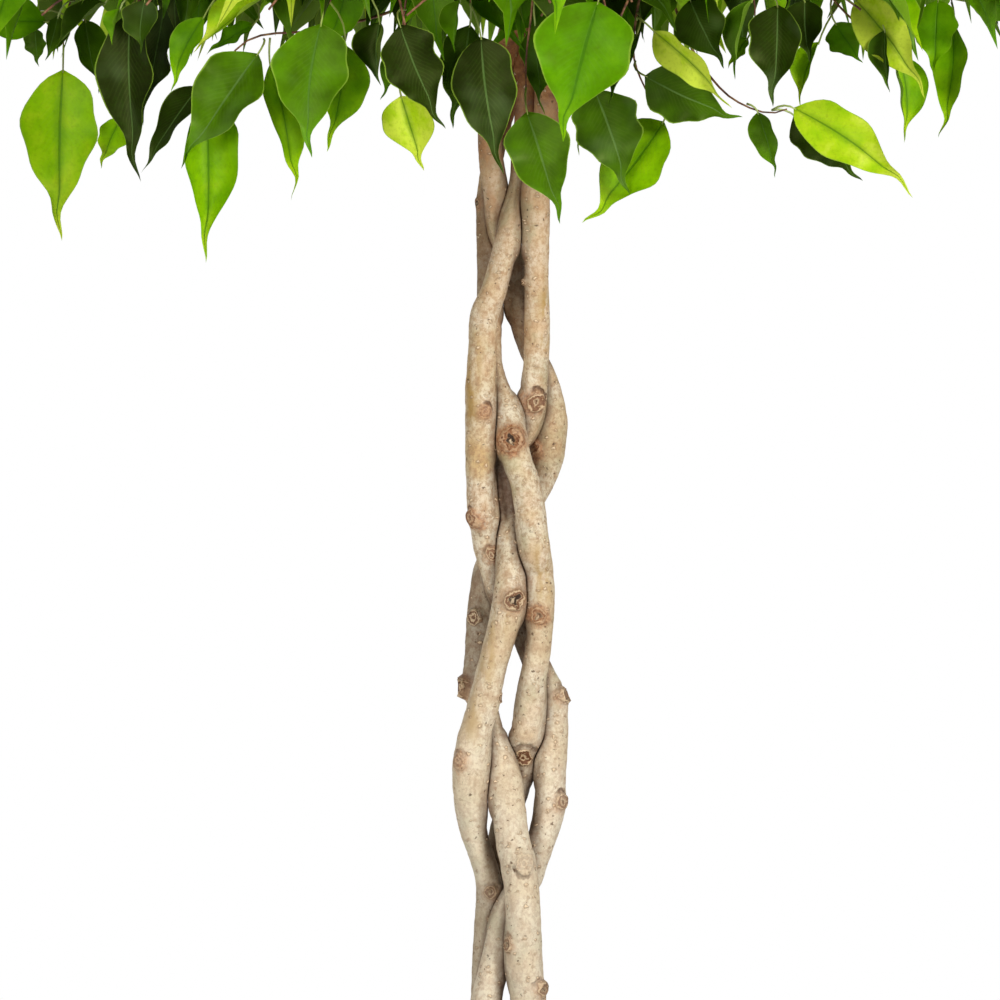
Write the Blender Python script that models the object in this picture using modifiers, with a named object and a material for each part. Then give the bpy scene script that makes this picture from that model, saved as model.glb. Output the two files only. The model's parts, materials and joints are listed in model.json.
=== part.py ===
"""Potted weeping fig: four braided stems that carry a drooping crown, standing in a plain pot of soil.

Metres. +X is right, +Y is away from the front and +Z is up. The origin is the middle of the pot's flat foot.
"""

import math
import random

import bmesh
import bpy
import numpy as np
from mathutils import Matrix, Quaternion, Vector
from mathutils.bvhtree import BVHTree

# Reference view: columns and rows are those of a level, long-lens front view of the trunk, 1000 by 1000.
PX = 0.00055  # one pixel at the trunk
MID_COL = 500.0
MID_ROW = 500.0
MID_X = -0.0055  # what the middle column and row look at
MID_Z = 0.605
EYE_DIST = 2.6  # from the eye to the trunk

GAP = 0.0003  # between two pieces that touch

# Pot
POT_HEIGHT = 0.245
POT_FOOT_R = 0.100
POT_NECK_R = 0.1275  # under the collar
POT_COLLAR_R = 0.1335
POT_RIM_R = 0.1385
POT_COLLAR_Z = 0.216
POT_WALL = 0.0028
POT_FLOOR = 0.0040
POT_SIDES = 26
DRAIN_COUNT = 6
DRAIN_RADIUS = 0.006
DRAIN_CIRCLE = 0.066

# Soil
SOIL_Z = 0.212  # at the wall
SOIL_DOME = 0.008  # how much higher it is at the stems
SOIL_LUMP = 0.0012
HOLE_SIDES = 10
HOLE_FOOT_Z = 0.118

# Stems: column, row, depth and radius in view pixels, from the leader's tip down to the root.
# Depth runs away from the eye; the columns and radii are measured, the depths keep the order of the braid.
STEMS = {
    "a": (
        (588, -740, -92, 5.0), (581, -600, -84, 6.2), (570, -450, -68, 7.4), (557, -320, -47, 8.4),
        (545, -210, -28, 9.2), (536, -120, -15, 10), (532, -80, -10, 10.5), (528, -40, -6, 11),
        (519, 0, -11, 11), (507, 40, -14, 11), (497, 80, -14, 11), (490, 120, -10, 11.5),
        (491, 161, -6, 12), (495.5, 196, 2, 11.6), (503, 235, 10, 12), (512, 253, 13, 12),
        (515, 291, 14, 12), (526, 335, 16, 12.5), (536, 360, 17, 12.5), (544, 377, 18, 12.6),
        (550, 397, 22, 13), (551.5, 413, 24, 16), (549, 441, 16, 17.4), (545, 471, 10, 15.6),
        (534, 492, 10, 15), (513, 530, 18, 14.5), (492, 560, 18, 15), (486, 581, 14, 14.5),
        (481, 622, 10, 14), (478, 662, 10, 14), (478, 690, 10, 14), (487, 716, 7, 12.8),
        (493, 741, 3, 12.6), (500.5, 762, 1, 13.8), (505, 782, -9, 18), (508, 806, -16, 16.8),
        (512.5, 840, -16, 17), (518.5, 865, -16, 17.5), (523.4, 921, -16, 17.4), (524, 962, -16, 18),
        (528, 1000, -16, 17.8), (535, 1060, -18, 18), (540, 1130, -24, 18.5), (541, 1209, -30, 19),
        (541, 1300, -30, 18.5), (541, 1384, -30, 17.5),
    ),
    "b": (
        (430, -740, 90, 5.0), (436, -600, 82, 6.2), (448, -450, 66, 7.4), (463, -320, 46, 8.4),
        (477, -210, 29, 9.2), (488, -120, 16, 10), (492, -70, 14, 10.5), (503, -10, 12, 10.5),
        (515, 30, 10, 10.5), (524, 70, 8, 11), (526, 110, 6, 11), (521.5, 150, 5, 10),
        (521.5, 178, 6, 9.4), (519, 196, 3, 9.4), (513.5, 214, -5, 10.3), (509, 234, -10, 12),
        (504, 253, -12, 12.5), (499.5, 270, -14, 12.5), (492, 297, -14, 13), (484, 313, -13, 14.5),
        (483, 331, -12, 13.8), (482, 362, -11, 14.6), (479.5, 400, -13, 14), (480, 415, -12, 14.2),
        (480.5, 430, -9, 15), (480, 461, -7, 14.5), (480.5, 492, -6, 14), (482.5, 512, -5, 14.5),
        (484.5, 530, -2, 14), (486, 545, 2, 13.2), (489.5, 560, 6, 12.8), (495, 577, 9, 12.8),
        (505, 600, 11, 13), (520, 625, 12, 13), (526.5, 640, 12, 13), (535, 662, 10, 13),
        (546, 683, 7, 14), (553, 706, 9, 14.4), (553.5, 741, 6, 14.6), (552, 761, 2, 14.8),
        (550.5, 782, 0, 15.3), (549, 812, 2, 15.6), (541, 840, 4, 14.5), (534, 860, 7, 14),
        (527.5, 881, 10, 14), (515, 900, 10, 13.5), (504, 921, 7, 13.5), (497, 950, 3, 13),
        (489.5, 983, -2, 14.5), (486, 1010, -5, 16), (481, 1060, -12, 17.5), (479, 1130, -22, 18.5),
        (479, 1209, -30, 19), (479, 1300, -30, 18.5), (479, 1384, -30, 17.5),
    ),
    "c": (
        (434, -740, -94, 5.0), (441, -600, -85, 6.2), (452, -450, -69, 7.4), (466, -320, -49, 8.4),
        (478, -210, -32, 9.2), (490, -120, -18, 10), (502, -80, -19, 11), (518, -40, -22, 12),
        (533, 0, -18, 12), (543, 40, -10, 12), (547, 80, -4, 12), (546, 126, -4, 13),
        (540, 160, -8, 13.5), (536.5, 200, -14, 13.2), (537, 222, -13, 12.7), (536.5, 245, -10, 12.5),
        (536.5, 280, -8, 12), (537, 321, -8, 12.8), (536, 362, -8, 12.8), (533.5, 387, -7, 13.3),
        (531.5, 405, 0, 13.2), (527, 423, 6, 13.4), (517, 441, 11, 13.2), (508, 462, 12, 13),
        (505.5, 480, 10, 12.5), (507, 505, 6, 12), (510, 525, 2, 11.4), (511, 542, -4, 11.6),
        (510.5, 560, -8, 12.2), (509.5, 581, -10, 14.3), (508.5, 601, -12, 16), (504.5, 622, -14, 16),
        (499, 642, -16, 14.8), (493.5, 662, -16, 14.6), (488, 683, -15, 15), (482, 710, -14, 16),
        (475.5, 731, -12, 15.8), (471, 758, -9, 17.5), (469, 787, -6, 17), (471, 818, -2, 14.5),
        (475.5, 840, 0, 13), (485, 866, 3, 12.5), (489, 890, 6, 12.5), (488, 915, 8, 13),
        (485.5, 950, 11, 13), (484, 1000, 15, 13.5), (481, 1060, 20, 15.5), (479, 1130, 26, 18),
        (479, 1209, 30, 19), (479, 1300, 30, 18.5), (479, 1384, 30, 17.5),
    ),
    "d": (
        (584, -740, 94, 5.0), (578, -600, 85, 6.2), (568, -450, 69, 7.4), (555, -320, 48, 8.4),
        (545, -210, 31, 9.2), (538, -120, 18, 10), (535, -60, 18, 10), (531, 0, 17, 10),
        (520, 50, 18, 10), (508, 100, 18, 10), (495, 150, 15, 10), (486.5, 196, 12, 10),
        (487, 240, 13, 10.5), (489, 290, 14, 11.5), (489, 330, 13, 12.5), (489, 362, 14, 12.6),
        (493.5, 382, 12, 12.6), (502.5, 400, 7, 12.3), (509.5, 415, -5, 12.6), (512.5, 441, -16, 15),
        (517, 461, -15, 14.8), (524.5, 481, -16, 14.8), (528.5, 502, -16, 15.4), (533, 530, -14, 15.0),
        (537.5, 560, -12, 15.0), (541, 601, -9, 14.2), (540.5, 622, -8, 13.6), (539, 642, -6, 12.8),
        (536, 662, -4, 13), (532, 682, -3, 13.4), (529, 710, -5, 15.2), (525.5, 740, 2, 14.8),
        (521.5, 760, 19, 13.4), (517, 788, 18, 12.8), (508, 813, 17, 12.8), (500, 840, 17, 13),
        (498, 862, 17, 13), (501, 885, 18, 13), (507, 912, 18, 13), (516, 945, 17, 13),
        (526, 985, 16, 13.5), (534, 1030, 18, 15), (540, 1080, 22, 17), (541, 1140, 27, 18.5),
        (541, 1209, 30, 19), (541, 1300, 30, 18.5), (541, 1384, 30, 17.5),
    ),
}
SAMPLE_ROWS = 12.0  # spacing of the points that are pushed clear of each other
STEM_CLEAR = 2.2  # pixels left between two stems
PUSHES = 400
STEM_SIDES = 8
RING_STEP = 30.0  # rows between the rings of the braid
LEADER_STEP = 120.0  # rows between the rings inside the crown
ROOT_ROW = 1209.0

# Branch scars: stem, column, row, radius and height in view pixels, and how far it is turned from the front.
SCARS = (
    ("c", 538, 403, 8.5, 3.4, 18), ("b", 488, 413, 6.0, 2.0, 22), ("d", 510, 441, 10.0, 3.6, -4),
    ("b", 472, 520, 7.5, 2.8, -52), ("c", 516, 601, 9.5, 3.2, 22), ("d", 538, 617, 7.0, 2.4, -10),
    ("a", 472, 619, 7.5, 2.2, -30), ("a", 463, 688, 8.5, 6.0, -78), ("b", 563, 697, 8.0, 4.4, 62),
    ("d", 521, 757, 8.0, 3.2, 4), ("c", 461, 762, 7.0, 2.6, -40), ("b", 561, 803, 7.5, 2.6, 50),
    ("a", 527, 864, 9.0, 2.6, 22), ("c", 489, 892, 5.5, 2.0, 8), ("a", 506, 945, 7.0, 2.6, -60),
    ("a", 543, 990, 7.5, 3.0, 56),
)
SCAR_SIDES = 7

# Leaves: blade outline as (share of length, share of half width), from the stalk to the drip tip.
LEAF_OUTLINE = ((0.09, 0.60), (0.40, 1.0), (0.72, 0.36))
LEAF_THICK = 0.0008
LEAF_FOLD = 0.16  # how far the edges rise over the midrib, as a share of the distance from it
STALK_WIDTH = 0.0013
LEAF_LONG = (0.074, 0.102)
LEAF_WIDE = 0.43  # width as a share of length
STALK_LONG = 0.013
TEST_SPARE = 0.0009  # extra thickness of a leaf while it is tried for room

# Sprays at the front of the lower fringe. Twig points are (column, row, depth); leaves are
# (column and row of the blade's base, column and row of its tip, width, depth, turn, lean back).
FRONT_SPRAYS = (
    (
        ((250, -95, -60), (165, -80, -90), (98, -40, -108), (66, 15, -112), (63, 52, -112)),
        (
            (63, 70, 62, 241, 74, -112, 4, 6), (46, 22, -62, 24, 52, -104, 20, 0),
            (35, 28, 39, 67, 26, -60, 30, 10), (58, 16, 45, 61, 28, -140, -40, 0),
            (106, 3, 52, 54, 34, -125, 38, -14), (85, 20, 99, 94, 38, -80, -32, 8),
        ),
    ),
    (
        (
            (290, -105, -150), (222, -88, -186), (168, -48, -212), (142, -4, -222),
            (124, 62, -214), (121, 100, -205),
        ),
        (
            (130, 13, 141, 182, 60, -236, 26, 6), (165, 7, 143, 126, 44, -196, 30, 14),
            (120, 9, 112, 45, 24, -250, 50, 0), (145, 0, 141, 54, 40, -262, 24, -4),
            (121, 118, 101, 169, 30, -200, -30, 4),
        ),
    ),
    (
        (
            (470, -70, -150), (412, 1, -208), (320, 30, -250), (245, 42, -266),
            (214, 78, -270), (207, 88, -270),
        ),
        (
            (206, 102, 206, 263, 66, -270, -12, 4), (258, 54, 181, 169, 68, -292, 14, -8),
            (199, 87, 141, 173, 46, -250, 40, 14), (270, 65, 291, 201, 44, -252, -36, 10),
        ),
    ),
    (
        ((350, -115, -215), (300, -88, -245), (252, -45, -268), (214, 0, -280)),
        (
            (260, 0, 193, 53, 44, -292, 34, -8), (204, 17, 171, 93, 36, -276, 30, 6),
            (254, 25, 206, 55, 32, -255, 42, 6),
        ),
    ),
    (
        ((425, -118, -235), (382, -78, -280), (345, -22, -306), (326, 8, -312)),
        (
            (321, 24, 312, 158, 72, -318, 8, 2), (345, 45, 327, 152, 50, -286, -30, 10),
            (380, 22, 381, 86, 40, -300, 36, 0),
        ),
    ),
    (
        ((472, -122, -225), (438, -78, -285), (410, -20, -318), (402, 36, -318), (400, 80, -312)),
        (
            (412, 53, 380, 100, 40, -330, 36, -10), (400, 25, 446, 129, 56, -336, 22, -6),
            (401, 96, 424, 171, 58, -300, 6, 4),
        ),
    ),
    (
        ((500, -118, -230), (484, -70, -288), (472, -16, -318), (470, 6, -320)),
        (
            (460, 0, 455, 53, 30, -350, 44, -8), (470, 25, 453, 129, 50, -316, 28, 12),
            (481, 37, 504, 175, 60, -338, 10, 2),
        ),
    ),
    (
        ((536, -112, -225), (535, -62, -290), (532, 8, -322), (526, 62, -318), (526, 94, -314)),
        (
            (535, 23, 545, 115, 34, -292, 46, 16), (527, 112, 560, 224, 60, -318, 10, 4),
        ),
    ),
    (
        ((582, -108, -220), (600, -60, -290), (602, -12, -318), (608, 40, -296), (598, 72, -286)),
        (
            (598, 2, 563, 142, 92, -348, 4, -4), (595, 90, 630, 195, 64, -286, 14, 6),
            (572, 90, 579, 156, 30, -262, -40, 8),
        ),
    ),
    (
        ((650, -100, -205), (652, -52, -250), (638, 6, -264), (634, 58, -264), (654, 107, -262)),
        (
            (664, 122, 582, 223, 66, -262, 12, 6), (645, 76, 743, 117, 54, -292, 30, 4),
            (654, 31, 732, 108, 42, -318, 58, -6), (637, 34, 608, 107, 42, -300, 40, 0),
        ),
    ),
    (
        ((660, -95, -180), (680, -45, -222), (722, -12, -244), (752, -4, -250), (755, 26, -250)),
        (
            (690, 0, 724, 69, 52, -262, 24, -4), (752, 0, 735, 80, 34, -272, 58, 0),
            (748, 38, 728, 69, 22, -246, 40, 6), (778, 5, 773, 107, 54, -252, 20, 2),
            (805, 0, 810, 63, 48, -240, 24, 6),
        ),
    ),
    (
        (
            (640, -84, -120), (672, 0, -168), (705, 70, -190), (736, 101, -200),
            (779, 112, -208), (787, 109, -208),
        ),
        (
            (794, 108, 913, 198, 50, -220, 16, -6), (794, 115, 863, 181, 46, -196, 30, 10),
            (758, 112, 775, 178, 32, -206, 44, 4),
        ),
    ),
    (
        ((760, -110, -95), (806, -58, -125), (834, 0, -138), (870, 34, -140), (890, 48, -140)),
        (
            (856, 0, 925, 99, 48, -156, 24, -6), (899, 55, 904, 143, 40, -140, -24, 6),
            (885, 30, 890, 93, 30, -168, 46, 0), (835, 23, 863, 63, 36, -124, 34, 6),
            (819, 42, 800, 108, 32, -134, 40, 4),
        ),
    ),
    (
        ((862, -112, -40), (915, -75, -62), (946, -30, -72), (953, 10, -74)),
        (
            (938, 0, 936, 79, 44, -92, 18, -4), (954, 25, 938, 138, 42, -74, 38, 4),
            (971, 2, 1046, 12, 36, -70, 20, 0),
        ),
    ),
)

# Crown: its outline in height, and the tiers of sprays that fill it.
CROWN_Z = 1.07
CROWN_UP = 0.39
CROWN_DOWN = 0.33
CROWN_R = 0.345
CROWN_POWER = 2.6
# Height of a tier's twig tips, how far out its twigs begin and end as a share of the crown's radius, how many
# sprays there are, and the arc (start and sweep in degrees, from +X towards +Y) that they are spread over.
TIERS = (
    (0.965, 0.42, 0.84, 4, 30, 140), (1.045, 0.42, 0.86, 7, 12, 360), (1.155, 0.42, 0.86, 7, 38, 360),
    (1.270, 0.42, 0.86, 6, 5, 360), (1.395, 0.20, 0.62, 4, 50, 360),
)
TWIG_ARCH = 0.075  # how far a twig bends up before it droops
TWIG_DROP = 0.10
TIER_SPREAD = 0.03  # how far a twig's tip may be above or below its tier
SPRAY_LEAVES = 5
LOW_ROW = 44.0  # leaves of the tiers keep above this row of the view
TRIES = 40
SEED = 11

LIMB_SIDES = 4
LIMB_ROW = -150  # where the lowest front limb leaves its stem
LIMB_STEP = 17
TWIG_SIDES = 4
LIMB_THICK = (0.0042, 0.0021)
TWIG_THICK = (0.0017, 0.0009)


def at(col, row, depth):
    """The point that the view shows at this column and row, so many pixels behind the trunk."""
    back = depth * PX
    spread = PX * (1 + back / EYE_DIST)
    return Vector((MID_X + (col - MID_COL) * spread, back, MID_Z + (MID_ROW - row) * spread))


def row_of(point):
    """The row of the view that shows this point."""
    return MID_ROW - (point.z - MID_Z) / (PX * (1 + point.y / EYE_DIST))


def hermite(knots, values, where):
    """A smooth curve through the values at the knots, read at each place."""
    slopes = np.gradient(values, knots, axis=0)
    low = np.clip(np.searchsorted(knots, where) - 1, 0, len(knots) - 2)
    span = (knots[low + 1] - knots[low])[:, None]
    t = (where - knots[low])[:, None] / span
    start = (1 + 2 * t) * (1 - t) ** 2 * values[low] + t * (1 - t) ** 2 * span * slopes[low]
    return start + t * t * (3 - 2 * t) * values[low + 1] + t * t * (t - 1) * span * slopes[low + 1]


def stem_samples():
    """For each stem: rows, and (column, depth, radius) there, with the depths pushed until no stems touch."""
    samples = {}
    for name, knots in STEMS.items():
        table = np.array(knots, float)
        rows = np.arange(table[0, 1], table[-1, 1] + 1, SAMPLE_ROWS)
        samples[name] = (rows, hermite(table[:, 1], table[:, [0, 2, 3]], rows))
    names = sorted(samples)
    for turn in range(PUSHES):
        if turn < PUSHES * 0.7:
            for name in names:
                depth = samples[name][1][:, 1]
                depth[1:-1] += 0.12 * (depth[:-2] + depth[2:] - 2 * depth[1:-1])
        for one in names:
            for other in names:
                if other > one:
                    push_apart(samples[one], samples[other])
    return samples


def push_apart(one, other):
    """Moves two stems apart in depth, a little, where they're closer than their radii and the clearance."""
    rows_a, a = one
    rows_b, b = other
    across = a[:, None, 0] - b[None, :, 0]
    deep = a[:, None, 1] - b[None, :, 1]
    high = rows_a[:, None] - rows_b[None, :]
    apart = np.sqrt(across**2 + deep**2 + high**2)
    need = a[:, None, 2] + b[None, :, 2] + STEM_CLEAR
    near = (need - apart).argmax(axis=1)
    here = np.arange(len(a))
    lack = need[here, near] - apart[here, near]
    sign = np.where(deep[here, near] < 0, -1.0, 1.0)
    step = 0.25 * np.clip(lack, 0, None) * sign
    a[:, 1] += step
    np.add.at(b[:, 1], near, -step)


def stem_path(sample, rows):
    """Centre line and radii of a stem at these rows."""
    values = hermite(sample[0], sample[1], rows)
    centre = [at(col, row, depth) for row, (col, depth, _) in zip(rows, values)]
    return centre, values[:, 2] * PX


def ring_rows(first):
    """Rows of a stem's rings: wide apart in the crown, close along the braid, none along the buried part."""
    crown = np.arange(first, -20, LEADER_STEP)
    braid = np.arange(crown[-1] + LEADER_STEP * 0.7, ROOT_ROW - 12, RING_STEP)
    return np.concatenate([crown, braid, [ROOT_ROW, STEMS["a"][-1][1]]])


def new_object(name, mesh):
    obj = bpy.data.objects.new(name, mesh)
    bpy.context.scene.collection.objects.link(obj)
    return obj


def tube(name, points, radii, sides):
    """A round bar along the points, with closed flat ends, as a mesh."""
    curve = bpy.data.curves.new(name, "CURVE")
    curve.dimensions = "3D"
    curve.bevel_depth = 1.0
    curve.bevel_resolution = (sides - 4) // 2
    curve.use_fill_caps = True
    spline = curve.splines.new("POLY")
    spline.points.add(len(points) - 1)
    for knot, point, radius in zip(spline.points, points, radii):
        knot.co = (*point, 1)
        knot.radius = radius
    guide = new_object(name + "_guide", curve)
    mesh = applied(guide)
    bpy.data.objects.remove(guide)
    work = bmesh.new()
    work.from_mesh(mesh)
    bmesh.ops.remove_doubles(work, verts=work.verts, dist=1e-6)
    bmesh.ops.recalc_face_normals(work, faces=work.faces)
    work.to_mesh(mesh)
    work.free()
    return new_object(name, mesh)


def applied(obj):
    """The object's shape with its modifiers, as a mesh of its own."""
    bpy.context.view_layer.update()
    graph = bpy.context.evaluated_depsgraph_get()
    return bpy.data.meshes.new_from_object(obj.evaluated_get(graph))


def combine(obj, others, operation, solver):
    """Joins the others to the object, or cuts them from it, in one Boolean, and clears them away."""
    if not others:
        return
    helpers = bpy.data.collections.new(obj.name + "_helpers")
    helpers.hide_render = True
    bpy.context.scene.collection.children.link(helpers)
    for other in others:
        other.display_type = "WIRE"
        bpy.context.scene.collection.objects.unlink(other)
        helpers.objects.link(other)
    boolean = obj.modifiers.new("combine", "BOOLEAN")
    boolean.operation = operation
    boolean.operand_type = "COLLECTION"
    boolean.collection = helpers
    boolean.solver = solver
    mesh = applied(obj)
    obj.modifiers.clear()
    obj.data = mesh
    for other in others:
        bpy.data.objects.remove(other)
    bpy.data.collections.remove(helpers)


def revolve(name, profile, steps):
    """A solid of revolution from (radius, height) points that start and end on the axis."""
    mesh = bpy.data.meshes.new(name)
    points = [(radius, 0, height) for radius, height in profile]
    mesh.from_pydata(points, [(i, i + 1) for i in range(len(points) - 1)], [])
    obj = new_object(name, mesh)
    screw = obj.modifiers.new("screw", "SCREW")
    screw.axis = "Z"
    screw.steps = steps
    screw.render_steps = steps
    screw.use_merge_vertices = True
    screw.merge_threshold = 0.00001
    screw.use_smooth_shade = True
    mesh = applied(obj)
    obj.modifiers.clear()
    obj.data = mesh
    work = bmesh.new()
    work.from_mesh(mesh)
    bmesh.ops.remove_doubles(work, verts=work.verts, dist=1e-6)
    bmesh.ops.recalc_face_normals(work, faces=work.faces)
    work.to_mesh(mesh)
    work.free()
    return obj


def cylinder(name, radius, low, high, x, y, sides):
    work = bmesh.new()
    place = Matrix.Translation((x, y, (low + high) / 2))
    bmesh.ops.create_cone(
        work, cap_ends=True, segments=sides, radius1=radius, radius2=radius, depth=high - low, matrix=place
    )
    mesh = bpy.data.meshes.new(name)
    work.to_mesh(mesh)
    work.free()
    return new_object(name, mesh)


def inner_radius(z):
    """Radius of the pot's inside at this height."""
    share = z / POT_COLLAR_Z
    return POT_FOOT_R + (POT_NECK_R - POT_FOOT_R) * share - POT_WALL


def make_pot():
    pot = revolve(
        "pot",
        (
            (0, POT_FLOOR),
            (inner_radius(POT_FLOOR), POT_FLOOR),
            (inner_radius(POT_COLLAR_Z), POT_COLLAR_Z),
            (POT_COLLAR_R - POT_WALL, POT_COLLAR_Z + 0.003),
            (POT_RIM_R - 0.0065, POT_HEIGHT),
            (POT_RIM_R - 0.0012, POT_HEIGHT),
            (POT_RIM_R, POT_HEIGHT - 0.0015),
            (POT_RIM_R, POT_HEIGHT - 0.0055),
            (POT_RIM_R - 0.0022, POT_HEIGHT - 0.0075),
            (POT_COLLAR_R, POT_COLLAR_Z + 0.0015),
            (POT_COLLAR_R - 0.001, POT_COLLAR_Z),
            (POT_NECK_R, POT_COLLAR_Z),
            (POT_FOOT_R + 0.0012, 0.002),
            (POT_FOOT_R - 0.0015, 0),
            (0, 0),
        ),
        POT_SIDES,
    )
    drains = []
    for number in range(DRAIN_COUNT):
        angle = math.tau * number / DRAIN_COUNT
        x = DRAIN_CIRCLE * math.cos(angle)
        y = DRAIN_CIRCLE * math.sin(angle)
        drains.append(cylinder(f"drain_{number}", DRAIN_RADIUS, -0.01, 0.01, x, y, 6))
    combine(pot, drains, "DIFFERENCE", "EXACT")
    return pot


def make_soil(feet):
    """Soil that fills the pot, with a lumpy top and a plain hole for each stem."""
    rings = 3
    side = inner_radius(SOIL_Z) - GAP * 1.3
    shares = [i / rings for i in range(rings + 1)]
    top = [(side * share, SOIL_Z + SOIL_DOME * math.cos(math.pi / 2 * share) ** 2) for share in shares]
    low = POT_FLOOR + GAP
    profile = top + [(inner_radius(low) - GAP * 1.3, low), (0, low)]
    soil = revolve("soil", profile, POT_SIDES)
    for vertex in soil.data.vertices:
        x, y, z = vertex.co
        reach = math.hypot(x, y) / side
        if z > 0.1 and 0.05 < reach < 0.95:
            vertex.co.z += SOIL_LUMP * (math.sin(211 * x + 3) * math.cos(173 * y) + math.sin(97 * (x - y)))
    holes = []
    for number, (centre, radius) in enumerate(feet):
        wide = (radius + GAP) / math.cos(math.pi / HOLE_SIDES)
        hole = cylinder(f"hole_{number}", wide, HOLE_FOOT_Z - GAP, 0.26, centre.x, centre.y, HOLE_SIDES)
        holes.append(hole)
    combine(soil, holes, "DIFFERENCE", "EXACT")
    return soil


def bezier(start, bend, end, count):
    """Points of an arch from start to end that heads for the bend first."""
    steps = [i / (count - 1) for i in range(count)]
    return [start * (1 - t) ** 2 + bend * 2 * t * (1 - t) + end * t * t for t in steps]


def radii_between(thick, count):
    return [thick[0] + (thick[1] - thick[0]) * i / (count - 1) for i in range(count)]


def crown_radius(z):
    """How far the crown reaches from its axis at this height."""
    share = (z - CROWN_Z) / (CROWN_UP if z > CROWN_Z else CROWN_DOWN)
    return CROWN_R * max(0.0, 1 - abs(share) ** CROWN_POWER) ** (1 / CROWN_POWER)


class Leaf:
    """One leaf: where its stalk leaves the twig, its blade from base to tip, its facing and its width."""

    def __init__(self, root, base, tip, face, width):
        self.root = root
        self.base = base
        self.tip = tip
        self.axis = (tip - base).normalized()
        self.side = self.axis.cross(face).normalized()
        self.face = self.side.cross(self.axis).normalized()
        self.width = width
        self.turn = self.axis.rotation_difference(base - root)

    def solid(self, thick, start=0.0):
        """Points and triangles of the blade and its stalk; both faces are split alike."""
        half = self.width / 2
        stalk = STALK_WIDTH / 2
        flat = Quaternion()
        pairs = [(self.root, stalk * 0.5, 0.0, self.turn)] if start == 0 else []
        bend = flat.slerp(self.turn, 0.5) if start == 0 else flat
        pairs.append((self.base + (self.tip - self.base) * start, stalk, 0.0, bend))
        for along, share in LEAF_OUTLINE:
            wide = half * share
            pairs.append((self.base + (self.tip - self.base) * along, wide, wide * LEAF_FOLD, flat))
        left = []
        right = []
        for middle, wide, rise, turn in pairs:
            left.append((middle - turn @ (self.side * wide - self.face * rise), turn @ self.face))
            right.append((middle + turn @ (self.side * wide + self.face * rise), turn @ self.face))
        outline = [*left, (self.tip, self.face), *reversed(right)]
        count = len(outline)
        first = len(left) - len(LEAF_OUTLINE) - 1
        last = count - 1
        tip = len(left)
        faces = []
        if first:
            faces += [(0, 1, last - 1), (0, last - 1, last)]
        for i in range(first + 1, tip):
            faces.append((first, i, i + 1))
            faces.append((last - first, last - i - 1, last - i))
        faces.append((first, tip, last - first))
        points = [p - over * thick / 2 for p, over in outline] + [p + over * thick / 2 for p, over in outline]
        solid = [(a, c, b) for a, b, c in faces]
        solid += [(a + count, b + count, c + count) for a, b, c in faces]
        for i in range(count):
            j = (i + 1) % count
            solid += [(i, j, j + count), (i, j + count, i + count)]
        return points, solid


class Room:
    """What has been placed so far, so that the next piece can be tried against it."""

    def __init__(self):
        self.taken = []

    def add(self, points, faces, owner):
        tree = BVHTree.FromPolygons([tuple(p) for p in points], faces)
        self.taken.append((self.box(points), tree, owner))

    @staticmethod
    def box(points):
        array = np.array([tuple(p) for p in points])
        return array.min(axis=0) - 0.0005, array.max(axis=0) + 0.0005

    def free(self, points, faces, skip=()):
        low, high = self.box(points)
        tree = None
        for (other_low, other_high), other, owner in self.taken:
            if owner in skip or (low > other_high).any() or (high < other_low).any():
                continue
            tree = tree or BVHTree.FromPolygons([tuple(p) for p in points], faces)
            if tree.overlap(other):
                return False
        return True


def pipe(points, radii, sides=4):
    """Points and triangles of a bar, for trying it for room."""
    ring = []
    faces = []
    for i, (point, radius) in enumerate(zip(points, radii)):
        ahead = (points[min(i + 1, len(points) - 1)] - points[max(i - 1, 0)]).normalized()
        across = ahead.cross(Vector((0.31, 0.17, 0.93))).normalized()
        other = ahead.cross(across)
        for k in range(sides):
            angle = math.tau * k / sides
            ring.append(point + (across * math.cos(angle) + other * math.sin(angle)) * radius)
        if i:
            for k in range(sides):
                a, b = (i - 1) * sides + k, (i - 1) * sides + (k + 1) % sides
                faces += [(a, b, b + sides), (a, b + sides, a + sides)]
    return ring, faces


class Spray:
    """A leafy twig and the limb that carries it. Leaves grow at shares of the twig's length."""

    def __init__(self, limb, stem, twig):
        self.limb = limb
        self.stem = stem
        self.twig = twig
        self.leaves = []

    def point(self, share):
        place = share * (len(self.twig) - 1)
        low = min(int(place), len(self.twig) - 2)
        return self.twig[low].lerp(self.twig[low + 1], place - low)

    def nearest(self, point):
        """The place on the twig from which a stalk reaches this point."""
        shares = [i / 60 for i in range(4, 59)]
        share = min(shares, key=lambda s: (self.point(s) - point).length)
        return self.point(share)


def limb_to(stems, twig, row, name):
    """The arch of a limb from inside its stem, at this row, to just short of the twig that continues it."""
    ahead = (twig[1] - twig[0]).normalized()
    end = twig[0] - ahead * GAP
    centre, _ = stem_path(stems[name], np.array([row]))
    bend = end - ahead * (end - centre[0]).length * 0.45
    points = bezier(centre[0], bend, end, 4)
    points[-2] = end - ahead * (points[-1] - points[-2]).length
    return points


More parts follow.
